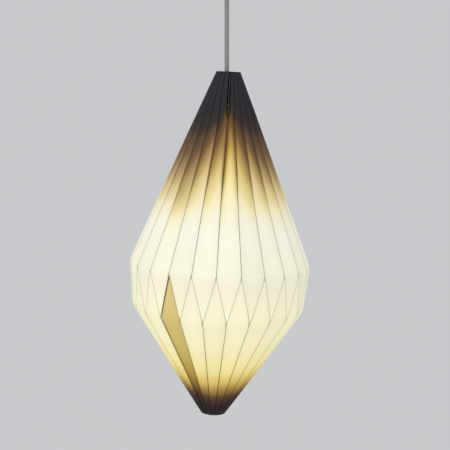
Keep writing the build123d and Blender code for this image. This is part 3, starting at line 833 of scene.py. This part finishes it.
@dataclass(frozen=True)
class ShadeForm:
    """Sizes of the folded shade in metres, with heights from the upper waist points."""

    strips: int = 24
    waist_radius: float = 0.1200
    lower_waist_radius: float = 0.1141
    waist_height: float = 0.0577
    cone_height: float = 0.2526
    top_radius: float = 0.0155
    tail_height: float = 0.1475
    bottom_radius: float = 0.0164
    paper: float = 0.0004
    fold_allowance: float = 0.0006
    fold_gap: float = 0.0003
    end_gap: float = 0.0006
    first_seam: float = radians(-61.76)
    sheet_seam: int = 2
    slit_seam: int = 4
    slit_length: float = 0.0526
    slit_gap: float = 0.0046
    slit_top_gap: float = 0.0036
    slit_closing: float = 0.0100
    sway: Tuple[float, ...] = (0.0, 0.0, 0.0005, 0.0020, 0.0026, 0.0008, 0.0012, 0.0008, 0.0)
    spread: Tuple[float, ...] = (0.0, 0.0, -0.0006, -0.0014, 0.0, 0.0018, 0.0010, 0.0005, 0.0)
    sway_rise: Zone = (0.060, 0.200)
    spread_reach: Zone = (-0.030, 0.025)
    end_hole: float = 0.0060
    tail_hole: float = 0.0058
    pivot_drop: float = 0.0496
    tilt: float = radians(2.61)
    thread_rise: float = 0.0270

    @property
    def half(self) -> float:
        """Half the angle of a strip."""
        return pi / self.strips

    @property
    def bottom(self) -> float:
        """Height of the bottom edge."""
        return -self.waist_height - self.tail_height

    @property
    def slit_foot(self) -> float:
        """Height where the open seam closes."""
        return self.cone_height - self.slit_length

    @property
    def strip_width(self) -> float:
        """Width of a strip of paper with its two folds."""
        return 2 * (self.waist_radius * sin(self.half) + self.fold_allowance)

    @property
    def levels(self) -> List[Level]:
        """The outlines that the paper is stretched between.

        Returns:
            Height, fold gap and slit gap of each, from the top.
        """
        low_thread = self.bottom + self.thread_rise
        return [
            (self.cone_height, self.end_gap, self.slit_top_gap),
            (self.slit_foot, self.end_gap, self.slit_gap),
            (self.slit_foot - self.slit_closing, self.end_gap, self.end_gap),
            (0.0, self.fold_gap, self.fold_gap),
            (-self.waist_height, self.fold_gap, self.fold_gap),
            (low_thread, self.end_gap, self.end_gap),
            (self.bottom, self.end_gap, self.end_gap),
        ]

    def stand(self) -> Matrix:
        """Lean the shade and set it on its rocking point.

        Returns:
            The matrix from the shade's own frame to the row frame.
        """
        pivot = next(j["pos_m"] for j in frame["joints"] if j["name"] == "shade_rock")
        drop = Matrix.Translation((0, 0, self.pivot_drop - self.cone_height))
        return Matrix.Translation(pivot) @ Matrix.Rotation(self.tilt, 4, "Y") @ drop

    def seam_radius(self, height: float) -> float:
        """Radius of the seams.

        Args:
            height: Height in one of the two cones.

        Returns:
            The radius there.
        """
        if height >= 0:
            slope = (self.waist_radius - self.top_radius) / self.cone_height
            return self.waist_radius - slope * height
        slope = (self.lower_waist_radius - self.bottom_radius) / self.tail_height
        return self.lower_waist_radius + slope * (height + self.waist_height)

    def fold_depth(self, height: float) -> float:
        """Depth of the folds, which take up the strip's width or reach the hole at the axis.

        Args:
            height: Height in one of the two cones.

        Returns:
            The depth there.
        """
        radius = self.seam_radius(height)
        hole = self.end_hole if height >= 0 else self.tail_hole
        full = (self.strip_width - 2 * radius * sin(self.half)) / 2
        return min(full, radius - hole - self.paper)

    def seam_angle(self, seam: float) -> float:
        """Angle of an upper seam; a half more gives the lower seam after it."""
        return self.first_seam + 2 * self.half * seam

    def drift(self, seam: float, height: float) -> float:
        """Angle by which the open seam pushes the upper seams round.

        Args:
            seam: Seam number, which may lie between two seams.
            height: Height in the upper cone.

        Returns:
            The angle, towards the next seam.
        """
        place = seam % self.strips
        before = int(place)
        if before + 1 >= len(self.sway):
            return 0.0
        share = place - before
        bowed = self.sway[before] * (1 - share) + self.sway[before + 1] * share
        pushed = self.spread[before] * (1 - share) + self.spread[before + 1] * share
        low, high = self.spread_reach
        way = bowed * eased(height, *self.sway_rise)
        way += pushed * eased(height, self.slit_foot + low, self.slit_foot + high)
        return way / self.seam_radius(height)

    @staticmethod
    def point(radius: float, across: float, angle: float) -> Vector:
        """Point in the level plane, along and across a seam's direction."""
        east = radius * sin(angle) + across * cos(angle)
        return Vector((east, across * sin(angle) - radius * cos(angle), 0))

    def fold(self, height: float, gap: float, angle: float) -> List[Vector]:
        """Outline of a fold.

        Args:
            height: Its height.
            gap: Width between its lips.
            angle: Its direction.

        Returns:
            Its left lip, valley and right lip.
        """
        radius = self.seam_radius(height)
        lip = gap / 2
        edge = radius - lip * tan(self.half)
        valley = radius - self.fold_depth(height)
        corners = ((edge, -lip), (valley, 0), (edge, lip))
        return [self.point(reach, across, angle) for reach, across in corners]

    def flat(self, height: float, angle: float) -> Vector:
        """Middle of a strip."""
        return self.point(self.seam_radius(height) * cos(self.half), 0, angle)

    def outline(self, level: Level, first: int, count: int) -> List[Vector]:
        """Corners of a sheet at one level, four for each strip and one at the end.

        Args:
            level: Height, fold gap and slit gap.
            first: The sheet's first seam.
            count: Number of strips.

        Returns:
            The corners, with their height as z.
        """
        height, gap, open_gap = level
        corners: List[Vector] = []
        for seam in range(first, first + count + 1):
            here = self.seam_angle(seam)
            if height >= 0:
                seam_gap = open_gap if seam == self.slit_seam else gap
                corners += self.fold(height, seam_gap, here)
                corners.append(self.flat(height, here + self.half))
            else:
                before = self.fold(height, gap, here - self.half)
                after = self.fold(height, gap, here + self.half)
                corners += [before[2], self.flat(height, here), after[0], after[1]]
        return [corner + Vector((0, 0, height)) for corner in corners[: 4 * count + 1]]


@dataclass
class Spot:
    """A point of a folded sheet, before its strip is arched and turned.

    Two neighbouring stretches between corners make a pair, which is a strip or a fold.
    """

    place: Vector
    column: int
    corner: int
    step: float
    width: float
    closed: bool
    first: int

    @property
    def height(self) -> float:
        """Height of the point."""
        return self.place.z

    @property
    def pair(self) -> int:
        """Number of its strip or fold in the sheet."""
        return self.corner // 2

    @property
    def seam(self) -> float:
        """Seam number at the middle of its strip or fold."""
        return self.first + self.pair / 2

    @property
    def side(self) -> float:
        """Place across the strip or fold, from -1 to 1."""
        return self.corner % 2 + self.step - 1.0

    @property
    def inward(self) -> float:
        """1 at the middle of the strip or fold and 0 at its edges."""
        return 1.0 - abs(self.side)

    @property
    def seam_place(self) -> float:
        """Seam number at the point itself.

        Returns:
            The number, a half more at the middle of an upper strip.
        """
        start, end = (
            self.first + corner // 4 + (0.5 if corner % 4 == 3 else 0.0)
            for corner in (self.corner, self.corner + 1)
        )
        return start + (end - start) * self.step


@dataclass
class PaperShade:
    """The two folded sheets of the shade and the glued second layers inside.

    Strips are counted from the lit one beside the open seam. A dim is how many metres nearer to
    the shade's end a strip takes its painted light from, and a zone is a stretch of heights over
    which something sets in.
    """

    form: ShadeForm = field(default_factory=ShadeForm)
    columns: int = 6
    wall: float = 0.00034
    rows_per_level: Tuple[int, ...] = (12, 4, 32, 14, 20, 4)
    waist_level: int = 3
    readings: Tuple[str, ...] = (
        "rise", "seam_gap", "middle", "dim", "pale", "tone", "layers", "lap", "node"
    )
    # Dims, leans, pales, the slit's hollow and leak, the cream strip and the lit fold set the paper's painted
    # light and shade.
    left_dim: Tuple[float, ...] = (0.0, 0.022, 0.032, 0.045, 0.043)
    right_dim: Tuple[float, ...] = (0.0, 0.031, 0.037, 0.041, 0.042)
    lower_dim: Tuple[float, ...] = (-0.0015, 0.0, 0.001, 0.002, 0.003)
    lean_of: Tuple[float, ...] = (0.0, 0.020, 0.019, 0.009, 0.005)
    pale_of: Tuple[float, ...] = (0.0, 0.10, 0.17, 0.23, 0.28)
    dim_zone: Zone = (0.045, 0.100)
    lean_zone: Zone = (0.030, 0.080)
    pale_zone: Zone = (0.020, 0.070)
    unlit_zone: Zone = (0.115, 0.185)
    lower_zone: Zone = (0.0, 0.090)
    slit_hollow: float = 0.042
    slit_leak: float = 0.013
    leak_zones: Tuple[Zone, Zone] = ((0.160, 0.186), (0.194, 0.222))
    leak_reach: float = 0.9
    cream_strip: float = -3.0
    cream_dim: float = 0.028
    cream_zones: Tuple[Zone, Zone] = ((0.0, 0.025), (0.060, 0.125))
    lit_fold_zones: Tuple[Zone, Zone] = ((0.180, 0.190), (0.200, 0.212))
    lit_fold_gap: float = 0.0004
    wide_seam_zone: Zone = (0.060, 0.130)
    upper_crown: Tuple[float, float, float] = (0.024, 0.110, 1.2)
    lower_crown: Tuple[float, float, float] = (0.018, 0.05, 1.5)
    crown_limit: float = 0.0022
    wave_depth: float = 0.00016
    wave_pitch: float = 22.0
    bend_depth: float = 0.00075
    lower_bend_depth: float = 0.0010
    bend_reach: float = 0.010
    lap_width: float = 0.0040
    lap_sink: float = 0.0006
    layer_top: float = -0.017
    layer_gap: float = 0.01
    layer_wall: float = 0.0003
    seed: int = 24

    def _heights(self) -> List[Tuple[int, float]]:
        """Rows of the grid from the top edge.

        Returns:
            Level index and share of the way down from it, for every row.
        """
        counts = enumerate(self.rows_per_level)
        rows = [(index, step / count) for index, count in counts for step in range(count)]
        return rows + [(len(self.rows_per_level) - 1, 1.0)]

    def _crown(self, height: float) -> float:
        """Rise of a strip's arch.

        Args:
            height: Height on the shade.

        Returns:
            The rise as a share of the strip's width.
        """
        form = self.form
        arch, share = self.upper_crown, height / form.cone_height
        if height <= 0:
            arch = self.lower_crown
            share = max(0.0, (-height - form.waist_height) / form.tail_height)
        start, growth, power = arch
        return start + growth * share**power

    def _from_slit(self, seam: float) -> float:
        """Number of strips from the lit strip beside the slit to a seam or strip, -12 to 12."""
        away = seam - self.form.slit_seam - 0.5
        return (away + self.form.strips / 2) % self.form.strips - self.form.strips / 2

    def _dim(self, seam: float, side: float, height: float, wander: float) -> float:
        """How much nearer to the shade's end a point's painted light is read than its height says.

        Args:
            seam: Seam number at the strip's middle.
            side: Place across the strip, from -1 to 1.
            height: The point's height.
            wander: The strip's own small part, from -1 to 1.

        Returns:
            Distance in metres, upwards.
        """
        away = self._from_slit(seam)
        step = min(round(abs(away)), 4)
        unlit = 1.0 - 0.5 * eased(height, *self.unlit_zone)
        dims, way = (self.right_dim, 1.0) if away > 0 else (self.left_dim, -1.0)
        raised = dims[step] * eased(height, *self.dim_zone)
        leaning = way * self.lean_of[step] * side
        if step == 0:
            leaning = self.slit_hollow * abs(side) ** 1.8
        raised += (leaning + 0.002 * wander) * eased(height, *self.lean_zone)
        if away == self.cream_strip:
            raised += self.cream_dim * between(height, *self.cream_zones)
        sunk = (self.lower_dim[step] + 0.0015 * wander) * eased(-height, *self.lower_zone)
        beside = max(0.0, 1.0 - abs(away + side / 2 + 0.5) / self.leak_reach)
        leak = self.slit_leak * between(height, *self.leak_zones) * beside**1.5
        return raised * unlit - sunk - leak

    def _bend_relief(self, height: float) -> float:
        """How far the paper is drawn in where a bend crosses the strips.

        Args:
            height: Height on the shade.

        Returns:
            The depth in metres.
        """
        drawn = 0.0
        lower = -self.form.waist_height
        for bend, depth in ((0.0, self.bend_depth), (lower, self.lower_bend_depth)):
            near = max(0.0, 1.0 - abs(height - bend) / self.bend_reach)
            drawn += depth * near * near
        return drawn

    def _spot(
        self, above: List[Vector], below: List[Vector], share: float, first: int, column: int
    ) -> Spot:
        """Stretch the paper between two outlines at one point of the grid.

        Args:
            above: Corners of the outline above the point.
            below: Corners of the one under it.
            share: Share of the way down between them.
            first: The sheet's first seam.
            column: Column of the grid.

        Returns:
            The point, with where it lies on its strip or fold.
        """
        corner = min(column // self.columns, len(above) - 2)
        step = (column - corner * self.columns) / self.columns
        pair_start = corner - corner % 2
        start, end, left, right = (
            above[index].lerp(below[index], share)
            for index in (corner, corner + 1, pair_start, pair_start + 2)
        )
        place = start.lerp(end, step)
        upper_fold = corner % 4 < 2
        closed = place.z >= 0 if upper_fold else place.z <= -self.form.waist_height
        return Spot(place, column, corner, step, (right - left).length, closed, first)

    def _lap(self, spot: Spot) -> float:
        """How near a point lies to the glued edge of its sheet, which sinks the paper there and sets the painted
        shadow of the edge.

        Args:
            spot: The point.

        Returns:
            1 on the edge and 0 away from it.
        """
        if spot.closed or spot.pair > 0:
            return 0.0
        return max(0.0, 1.0 - (spot.side + 1.0) * spot.width / 2 / self.lap_width)

    def _settled(self, spot: Spot, arch: float, waver: float) -> Vector:
        """Arch a strip, draw it in at the bends and push it round beside the open seam.

        Args:
            spot: The point on the flat strip.
            arch: The strip's own share of the arch.
            waver: Where its waves are read from the noise.

        Returns:
            The point's place in the shade's own frame.
        """
        height, side, place = spot.height, spot.side, spot.place.copy()
        outward = self.form.point(1.0, 0.0, self.form.seam_angle(spot.seam))
        if not spot.closed:
            rise = min(self._crown(height) * arch * spot.width, self.crown_limit)
            wave = noise.noise(Vector((waver, height * self.wave_pitch, side))) * self.wave_depth
            place += outward * (rise + wave) * (1 - side * side)
        place -= outward * self._bend_relief(height)
        place -= outward * self.lap_sink * self._lap(spot)
        drift = self.form.drift(spot.seam_place, max(height, 0.0))
        return Matrix.Rotation(drift, 3, "Z") @ place

    def _gap(self, spot: Spot) -> float:
        """Distance from the nearest seam, less than 0 inside a fold.

        Args:
            spot: The point.

        Returns:
            The distance in metres, which sets the painted shade of the seams; less beside the slit, where that
            painted shade is drawn wider.
        """
        form, height = self.form, spot.height
        gap = spot.inward * spot.width / 2
        if spot.closed:
            gap = -spot.inward * form.fold_depth(height)
            # The slit's fold walls are painted lit where the light leaks in, not shaded as a fold.
            if spot.seam == form.slit_seam:
                gap += (self.lit_fold_gap - gap) * between(height, *self.lit_fold_zones)
        elif abs(self._from_slit(spot.seam) + spot.side / 2 + 0.5) < 0.5:
            gap *= 1.0 - 0.55 * eased(height, *self.wide_seam_zone)
        return gap

    def _readings_at(self, spot: Spot, tone: float) -> Dict[str, float]:
        """Numbers that the paper's finish reads at a point, most of them for its painted light and shade.

        Args:
            spot: The point.
            tone: The strip's own tone, from -1 to 1.

        Returns:
            The numbers by their names.
        """
        height = spot.height
        side = 0.0 if spot.closed else spot.side
        far = min(round(abs(self._from_slit(spot.seam))), 4)
        doubled = spot.pair == 0 or (spot.corner == 2 and spot.step == 0)
        # dim, pale, layers, lap and node set painted light and shade: strip brightness, washed-out far strips, the
        # darker doubled strip, the glued edge's shadow and dark waist spots.
        return {
            "rise": height,
            "seam_gap": self._gap(spot),
            "middle": 0.0 if spot.closed else spot.inward,
            "dim": self._dim(spot.seam, side, height, tone),
            "pale": self.pale_of[far] * eased(height, *self.pale_zone),
            "tone": tone,
            "layers": float(doubled and height < -0.0001),
            "lap": self._lap(spot),
            "node": float(self._at_node(spot)),
        }

    def _at_node(self, spot: Spot) -> bool:
        """Whether a point is one where a seam parts at the waist.

        Args:
            spot: The point.

        Returns:
            True on the upper waist points and the lower ones.
        """
        corner, rest = divmod(spot.column, self.columns)
        bend = 0.0 if corner % 4 == 0 else -self.form.waist_height
        return rest == 0 and corner % 2 == 0 and abs(spot.height - bend) < 0.0001

    def _sheet(self, first: int, count: int) -> bmesh.types.BMesh:
        """Fold a grid of paper into one sheet of the shade.

        Args:
            first: The sheet's first seam.
            count: Number of strips.

        Returns:
            The sheet's outer surface, in the shade's own frame, with its attributes.
        """
        rows = self._heights()
        across = 4 * count * self.columns
        outlines = [self.form.outline(level, first, count) for level in self.form.levels]
        rng = random.Random(self.seed + first)
        tones, arches, wavers = [
            [rng.uniform(low, high) for _ in range(2 * count + 2)]
            for low, high in ((-1, 1), (0.75, 1.25), (0, 100))
        ]
        sheet = bmesh.new()
        bmesh.ops.create_grid(sheet, x_segments=across, y_segments=len(rows) - 1, size=0.5)
        layers = {name: sheet.verts.layers.float.new(name) for name in self.readings}
        grid: Dict[int, Tuple[int, int]] = {}
        for vert in sheet.verts:
            column = round((vert.co.x + 0.5) * across)
            level, share = rows[round((0.5 - vert.co.y) * (len(rows) - 1))]
            grid[vert.index] = (column, level)
            spot = self._spot(outlines[level], outlines[level + 1], share, first, column)
            vert.co = self._settled(spot, arches[spot.pair], wavers[spot.pair])
            for name, value in self._readings_at(spot, tones[spot.pair]).items():
                vert[layers[name]] = value
        self._mark_creases(sheet, grid)
        return sheet

    def _mark_creases(self, sheet: bmesh.types.BMesh, grid: Dict[int, Tuple[int, int]]) -> None:
        """Keep the creases of seams and folds sharp.

        Args:
            sheet: The folded grid.
            grid: Column and level of each of its points.
        """
        for edge in sheet.edges:
            (column, level), (other, next_level) = (grid[vert.index] for vert in edge.verts)
            if column != other or column % self.columns:
                continue
            corner, level = column // self.columns, min(level, next_level)
            upper_valley = corner % 4 == 1 and level < self.waist_level
            lower_valley = corner % 4 == 3 and level > self.waist_level
            if corner % 2 == 0 or upper_valley or lower_valley:
                edge.smooth = False

    @staticmethod
    def _thicken(piece: bpy.types.Object, thickness: float) -> None:
        """Give a piece of paper its thickness, inwards.

        Args:
            piece: The piece.
            thickness: The thickness in metres.
        """
        wall = piece.modifiers.new("paper_wall", "SOLIDIFY")
        wall.thickness = thickness
        wall.offset = -1.0
        wall.use_even_offset = False

    def build(self) -> None:
        """Add both sheets and the two second layers."""
        half_count = self.form.strips // 2
        ends = {"front": self.form.sheet_seam, "back": self.form.sheet_seam + half_count}
        for side, first in ends.items():
            sheet = self._sheet(first, half_count)
            sheet.transform(self.form.stand())
            name = f"shade_paper_{side}"
            nodes = [f"shade_sheet_{side}"]
            piece = add_piece(name, to_mesh(name, sheet), Body.SHADE, Slot.PAPER, nodes)
            self._thicken(piece, self.wall)
            self._second_layer(side, first)

    def _second_layer(self, side: str, seam: int) -> None:
        """Add the glued second layer inside one lower strip.

        Args:
            side: front or back.
            seam: The seam above the strip.
        """
        form = self.form
        layer = bmesh.new()
        bmesh.ops.create_grid(layer, x_segments=10, y_segments=40, size=0.5)
        values = {name: layer.verts.layers.float.new(name) for name in self.readings}
        angle = form.seam_angle(seam)
        for vert in layer.verts:
            share, side_share = 0.5 - vert.co.y, 2 * vert.co.x
            height = self.layer_top + (form.bottom - self.layer_top) * share
            open_share = min(-height / form.waist_height, 1.0)
            radius = form.seam_radius(min(height, -form.waist_height))
            flat = (form.waist_radius - form.fold_allowance) * (1 - open_share)
            flat += radius * cos(form.half) * open_share
            reach = radius * sin(form.half) * open_share - form.end_gap / 2 - 2 * form.paper
            place = form.point(flat - form.paper - self.layer_wall, reach * side_share, angle)
            vert.co = place + Vector((0, 0, height))
            vert[values["rise"]] = height
            vert[values["seam_gap"]] = self.layer_gap
            vert[values["middle"]] = 1.0 - abs(side_share)
            # The second layer takes the darker painted light of the doubled strip.
            vert[values["layers"]] = 1.0
        layer.transform(form.stand())
        name = f"second_layer_{side}"
        nodes = [f"overlap_{side}"]
        piece = add_piece(name, to_mesh(name, layer), Body.SHADE, Slot.PAPER, nodes)
        self._thicken(piece, self.layer_wall)


@dataclass
class Drawstrings:
    """The two threads that gather the folds, with their knots and tails."""

    form: ShadeForm = field(default_factory=ShadeForm)
    radius: float = 0.00035
    inset: float = 0.0028
    top_drop: float = 0.0420
    top_knot: float = 0.0010
    tail_length: float = 0.0112
    tail_out: float = 0.0010
    tail_in: float = 0.0006
    tail_end: float = 0.0020
    stitch_width: float = 0.0060
    end_climb: float = 0.0058
    end_out: float = 0.0006
    end_knot: float = 0.0011
    end_knot_out: float = 0.0008
    facets: int = 8
    knot_steps: int = 24

    @staticmethod
    def _edges_of(ring: Sequence[bmesh.types.BMVert]) -> List[bmesh.types.BMEdge]:
        """Edges that join the points of one ring."""
        around = {edge for vert in ring for edge in vert.link_edges}
        return [edge for edge in around if all(vert in ring for vert in edge.verts)]

    def _rod(
        self, shape: bmesh.types.BMesh, points: Sequence[Vector], radii: Sequence[float]
    ) -> None:
        """Add a round rod along some points.

        Args:
            shape: The bmesh to add to.
            points: Middle points of its rings.
            radii: Radius at each.
        """
        ring: List[bmesh.types.BMVert] = []
        for index, (point, radius) in enumerate(zip(points, radii)):
            before = points[max(index - 1, 0)]
            after = points[min(index + 1, len(points) - 1)]
            turn = (after - before).to_track_quat("Z", "Y").to_matrix().to_4x4()
            place = Matrix.Translation(point) @ turn
            previous = ring
            ring = bmesh.ops.create_circle(
                shape, segments=self.facets, radius=radius, matrix=place
            )["verts"]
            if previous:
                loops = self._edges_of(previous) + self._edges_of(ring)
                bmesh.ops.bridge_loops(shape, edges=loops)
            else:
                shape.faces.new(ring[::-1])
        shape.faces.new(ring)

    def _hoop(self, shape: bmesh.types.BMesh, height: float, ring_radius: float) -> None:
        """Add the hoop of thread that runs through the folds.

        Args:
            shape: The bmesh to add to.
            height: The hoop's height.
            ring_radius: Its radius.
        """
        place = Matrix.Translation((ring_radius, 0, height)) @ Matrix.Rotation(pi / 2, 4, "X")
        made = bmesh.ops.create_circle(
            shape, segments=self.facets, radius=self.radius, matrix=place
        )
        edges = list({edge for vert in made["verts"] for edge in vert.link_edges})
        whole = {"cent": (0, 0, 0), "axis": (0, 0, 1), "angle": 2 * pi, "use_merge": True}
        bmesh.ops.spin(shape, geom=edges, steps=96, **whole)

    def _knot(self, shape: bmesh.types.BMesh, place: Vector, size: float, facing: float) -> None:
        """Add an overhand knot as one closed turn of thread round itself.

        Args:
            shape: The bmesh to add to.
            place: Middle of the knot.
            size: Its radius.
            facing: Angle of the outward direction.
        """
        stand = Matrix.Rotation(facing, 4, "Z") @ Matrix.Rotation(pi / 2, 4, "X")
        turn = Matrix.Translation(place) @ stand
        points: List[Vector] = []
        for step in range(self.knot_steps + 1):
            t = 2 * pi * step / self.knot_steps
            loop = Vector((sin(t) + 2 * sin(2 * t), cos(t) - 2 * cos(2 * t), -1.3 * sin(3 * t)))
            points.append(turn @ (loop * (size - self.radius * 0.8) / 3.0))
        self._rod(shape, points, [self.radius] * len(points))

    def _add(self, name: str, shape: bmesh.types.BMesh, node: str) -> None:
        """Turn a drawstring the right way out and add it, shaded where it lies under the waist.

        Args:
            name: The piece's name.
            shape: The thread in the shade's own frame.
            node: The CAD node that it stands for.
        """
        bmesh.ops.recalc_face_normals(shape, faces=shape.faces)
        shaded = shape.verts.layers.float.new("shaded")
        for vert in shape.verts:
            vert[shaded] = 1.0 if vert.co.z < 0.0 else 0.0
        shape.transform(self.form.stand())
        add_piece(name, to_mesh(name, shape), Body.SHADE, Slot.THREAD, [node])

    def _slit_angle(self, height: float) -> float:
        """Direction of the open seam at a height."""
        slit = self.form.slit_seam
        return self.form.seam_angle(slit) + self.form.drift(slit, height)

    def _in_slit(self, reach: float, height: float, sway: float = 0.0) -> Vector:
        """Point in the middle of the open seam, at a distance from the shade's axis."""
        return self.form.point(reach, sway, self._slit_angle(height)) + Vector((0, 0, height))

    def _top(self) -> None:
        """The top hoop, its knot outside the open seam and the tails above and under it."""
        form = self.form
        height = form.cone_height - self.top_drop
        seam = form.seam_radius(height)
        hoop, knot = seam - self.inset, seam + self.tail_out
        shape = bmesh.new()
        self._hoop(shape, height, hoop)
        lead = [self._in_slit(hoop + (knot - hoop) * step / 4, height) for step in range(5)]
        self._rod(shape, lead, [self.radius] * 5)
        place = self._in_slit(knot, height)
        self._knot(shape, place, self.top_knot, self._slit_angle(height))
        down = []
        for step in range(7):
            low = height - self.tail_length * step / 6
            reach = form.seam_radius(low) + self.tail_out
            down.append(self._in_slit(reach, low, 0.0003 * sin(step * 1.1)))
        self._rod(shape, down, [self.radius] * 6 + [self.radius * 0.5])
        up = []
        for step in range(13):
            high = height + (self.top_drop - self.tail_end) * step / 12
            out = self.tail_out * max(0.0, 1 - step / 3) - self.tail_in
            reach = form.seam_radius(high) + out
            up.append(self._in_slit(reach, high, 0.0004 * sin(step * 0.9)))
        self._rod(shape, up, [self.radius * 0.8] * 12 + [self.radius * 0.4])
        self._add("top_thread", shape, "top_drawstring")

    def _bottom(self) -> None:
        """The bottom hoop and its two ends, each led out through the paper, up it and knotted."""
        form = self.form
        height = form.bottom + form.thread_rise
        seam = form.seam_radius(height)
        hoop = seam - self.inset
        middle = form.seam_angle(form.slit_seam) + form.half
        spread = asin(self.stitch_width / 2 / seam)
        shape = bmesh.new()
        self._hoop(shape, height, hoop)
        for angle in (middle - spread, middle + spread):
            steps = [(hoop + self.inset * step / 3, 0.0, height) for step in range(4)]
            for step in range(1, 7):
                high = height + self.end_climb * step / 6
                steps.append((form.seam_radius(high) + self.end_out, 0.0002 * sin(step), high))
            points = [form.point(out, sway, angle) + Vector((0, 0, z)) for out, sway, z in steps]
            self._rod(shape, points, [self.radius] * 9 + [self.radius * 0.5])
            knot_height = height + 0.7 * self.end_climb
            knot_reach = form.seam_radius(knot_height) + self.end_knot_out
            knot_place = form.point(knot_reach, 0, angle)
            knot_place += Vector((0, 0, knot_height))
            self._knot(shape, knot_place, self.end_knot, angle)
        self._add("bottom_thread", shape, "bottom_drawstring")

    def build(self) -> None:
        """Add the top and the bottom drawstring."""
        self._top()
        self._bottom()


@dataclass
class HangingCord:
    """The straight hanging cord, from the bend under the grip into the lampholder's cap."""

    diameter: float = 0.0060
    exit_height: float = -0.0638
    heights: Tuple[float, ...] = (-0.0638, -0.1150, -0.1680, -0.2210, -0.2740)

    def build(self) -> None:
        data = bpy.data.curves.new("hanging_cord", "CURVE")
        data.dimensions = "3D"
        data.bevel_depth = self.diameter / 2
        data.bevel_resolution = 6
        data.resolution_u = 8
        data.use_fill_caps = True
        line = data.splines.new("NURBS")
        line.points.add(len(self.heights) - 1)
        for point, height in zip(line.points, self.heights):
            point.co = (0.0, 0.0, height, 1.0)
        line.order_u = 3
        line.use_endpoint_u = True
        cord = add_piece("hanging_cord", data, Body.PENDANT, Slot.CORD_SHEATH, ["cord"])
        self._shoulder()

    def _shoulder(self) -> bpy.types.Object:
        """Add the round top of the hanging cord, which turns in the hollow foot of the bend.

        Returns:
            The piece.
        """
        ball = bmesh.new()
        bmesh.ops.create_uvsphere(ball, u_segments=32, v_segments=18, radius=self.diameter / 2)
        bmesh.ops.translate(ball, verts=ball.verts, vec=(0, 0, self.exit_height))
        name = "cord_shoulder"
        return add_piece(name, to_mesh(name, ball), Body.PENDANT, Slot.CORD_SHEATH)


@dataclass
class Fittings:
    """The CAD nodes whose shapes stay, each with the finish of its slot."""

    record: Dict[str, Any]

    def dress(self) -> None:
        """Give every node of every body the material of its slot."""
        slots = {part["node"]: Slot(part["material_slot"]) for part in self.record["subparts"]}
        for body in Body:
            for name in self.record["behaviour"]["bodies"][body.value]:
                materials = frame["nodes"][name].data.materials
                materials.clear()
                materials.append(MATERIALS[slots[name]])
                log.info("node %s on %s, finish %s", name, body.value, slots[name].value)


@dataclass
class Studio:
    """Camera, floor and soft light."""

    camera_place: Tuple[float, float, float] = (-0.0024, -1.4205, -0.1702)
    look_down: float = radians(7.65)
    lens: float = 86.4
    sensor: float = 36.0
    floor_height: float = -2.2
    floor_size: float = 60.0
    floor_colour: Colour = (0.74, 0.75, 0.77)
    fill: float = 0.78
    key_power: float = 20.0
    key_width: float = 1.6
    key_place: Tuple[float, float, float] = (-0.9, -2.3, 0.7)
    key_aim: Tuple[float, float, float] = (0.0, 0.0, -0.4)

    def build(self) -> None:
        """Set up the camera, the floor and the lamps."""
        self._camera()
        self._floor()
        self._world()
        self._key()
        bpy.context.scene.view_settings.view_transform = "Standard"

    def _camera(self) -> None:
        """The camera at the photograph's place."""
        data = bpy.data.cameras.new("photo_camera")
        data.lens = self.lens
        data.sensor_width = self.sensor
        data.clip_end = 200.0
        camera = bpy.data.objects.new("photo_camera", data)
        camera.location = self.camera_place
        camera.rotation_euler = (pi / 2 - self.look_down, 0.0, 0.0)
        bpy.context.scene.collection.objects.link(camera)
        bpy.context.scene.camera = camera

    def _floor(self) -> None:
        """The plain pale floor."""
        shape = bmesh.new()
        bmesh.ops.create_grid(shape, x_segments=2, y_segments=2, size=self.floor_size / 2)
        bmesh.ops.translate(shape, verts=shape.verts, vec=(0, 0, self.floor_height))
        floor = bpy.data.objects.new("floor", to_mesh("floor", shape, smooth=False))
        bpy.context.scene.collection.objects.link(floor)
        paint = Bench("pale_floor", self.floor_colour)
        floor.data.materials.append(
            paint.set(Base_Color=self.floor_colour, Roughness=0.9, Specular_IOR_Level=0.0)
        )

    def _world(self) -> None:
        """Even fill light, and the backdrop's colour where the camera looks past the floor."""
        world = bpy.data.worlds.new("studio")
        world.use_nodes = True
        bpy.context.scene.world = world
        tree = world.node_tree
        path = tree.nodes.new("ShaderNodeLightPath")
        rays = ("Is Camera Ray", "Is Glossy Ray", "Is Transmission Ray")
        seen, glossy, through = (Wire(tree, path.outputs[ray]) for ray in rays)
        backdrop = toned(self.floor_colour, self.fill)
        colour = seen.larger(glossy).larger(through).tint((self.fill,) * 3, backdrop)
        tree.links.new(colour.socket, tree.nodes["Background"].inputs["Color"])

    def _key(self) -> None:
        """A large soft lamp from the front, above and a little to the left."""
        data = bpy.data.lights.new("key", "AREA")
        data.shape = "DISK"
        data.size = self.key_width
        data.energy = self.key_power
        lamp = bpy.data.objects.new("key", data)
        lamp.location = self.key_place
        aim = Vector(self.key_aim) - lamp.location
        lamp.rotation_euler = aim.to_track_quat("-Z", "Y").to_euler()
        bpy.context.scene.collection.objects.link(lamp)


def main() -> None:
    """Build the scene's pieces in order."""
    logging.basicConfig(level=logging.INFO, format="%(name)s: %(message)s")
    builders: List[Callable[[], None]] = [
        Studio().build,
        HangingCord().build,
        Fittings(frame["record"]).dress,
        PaperShade().build,
        Drawstrings().build,
    ]
    for build in builders:
        build()


if __name__ == "__main__":
    main()
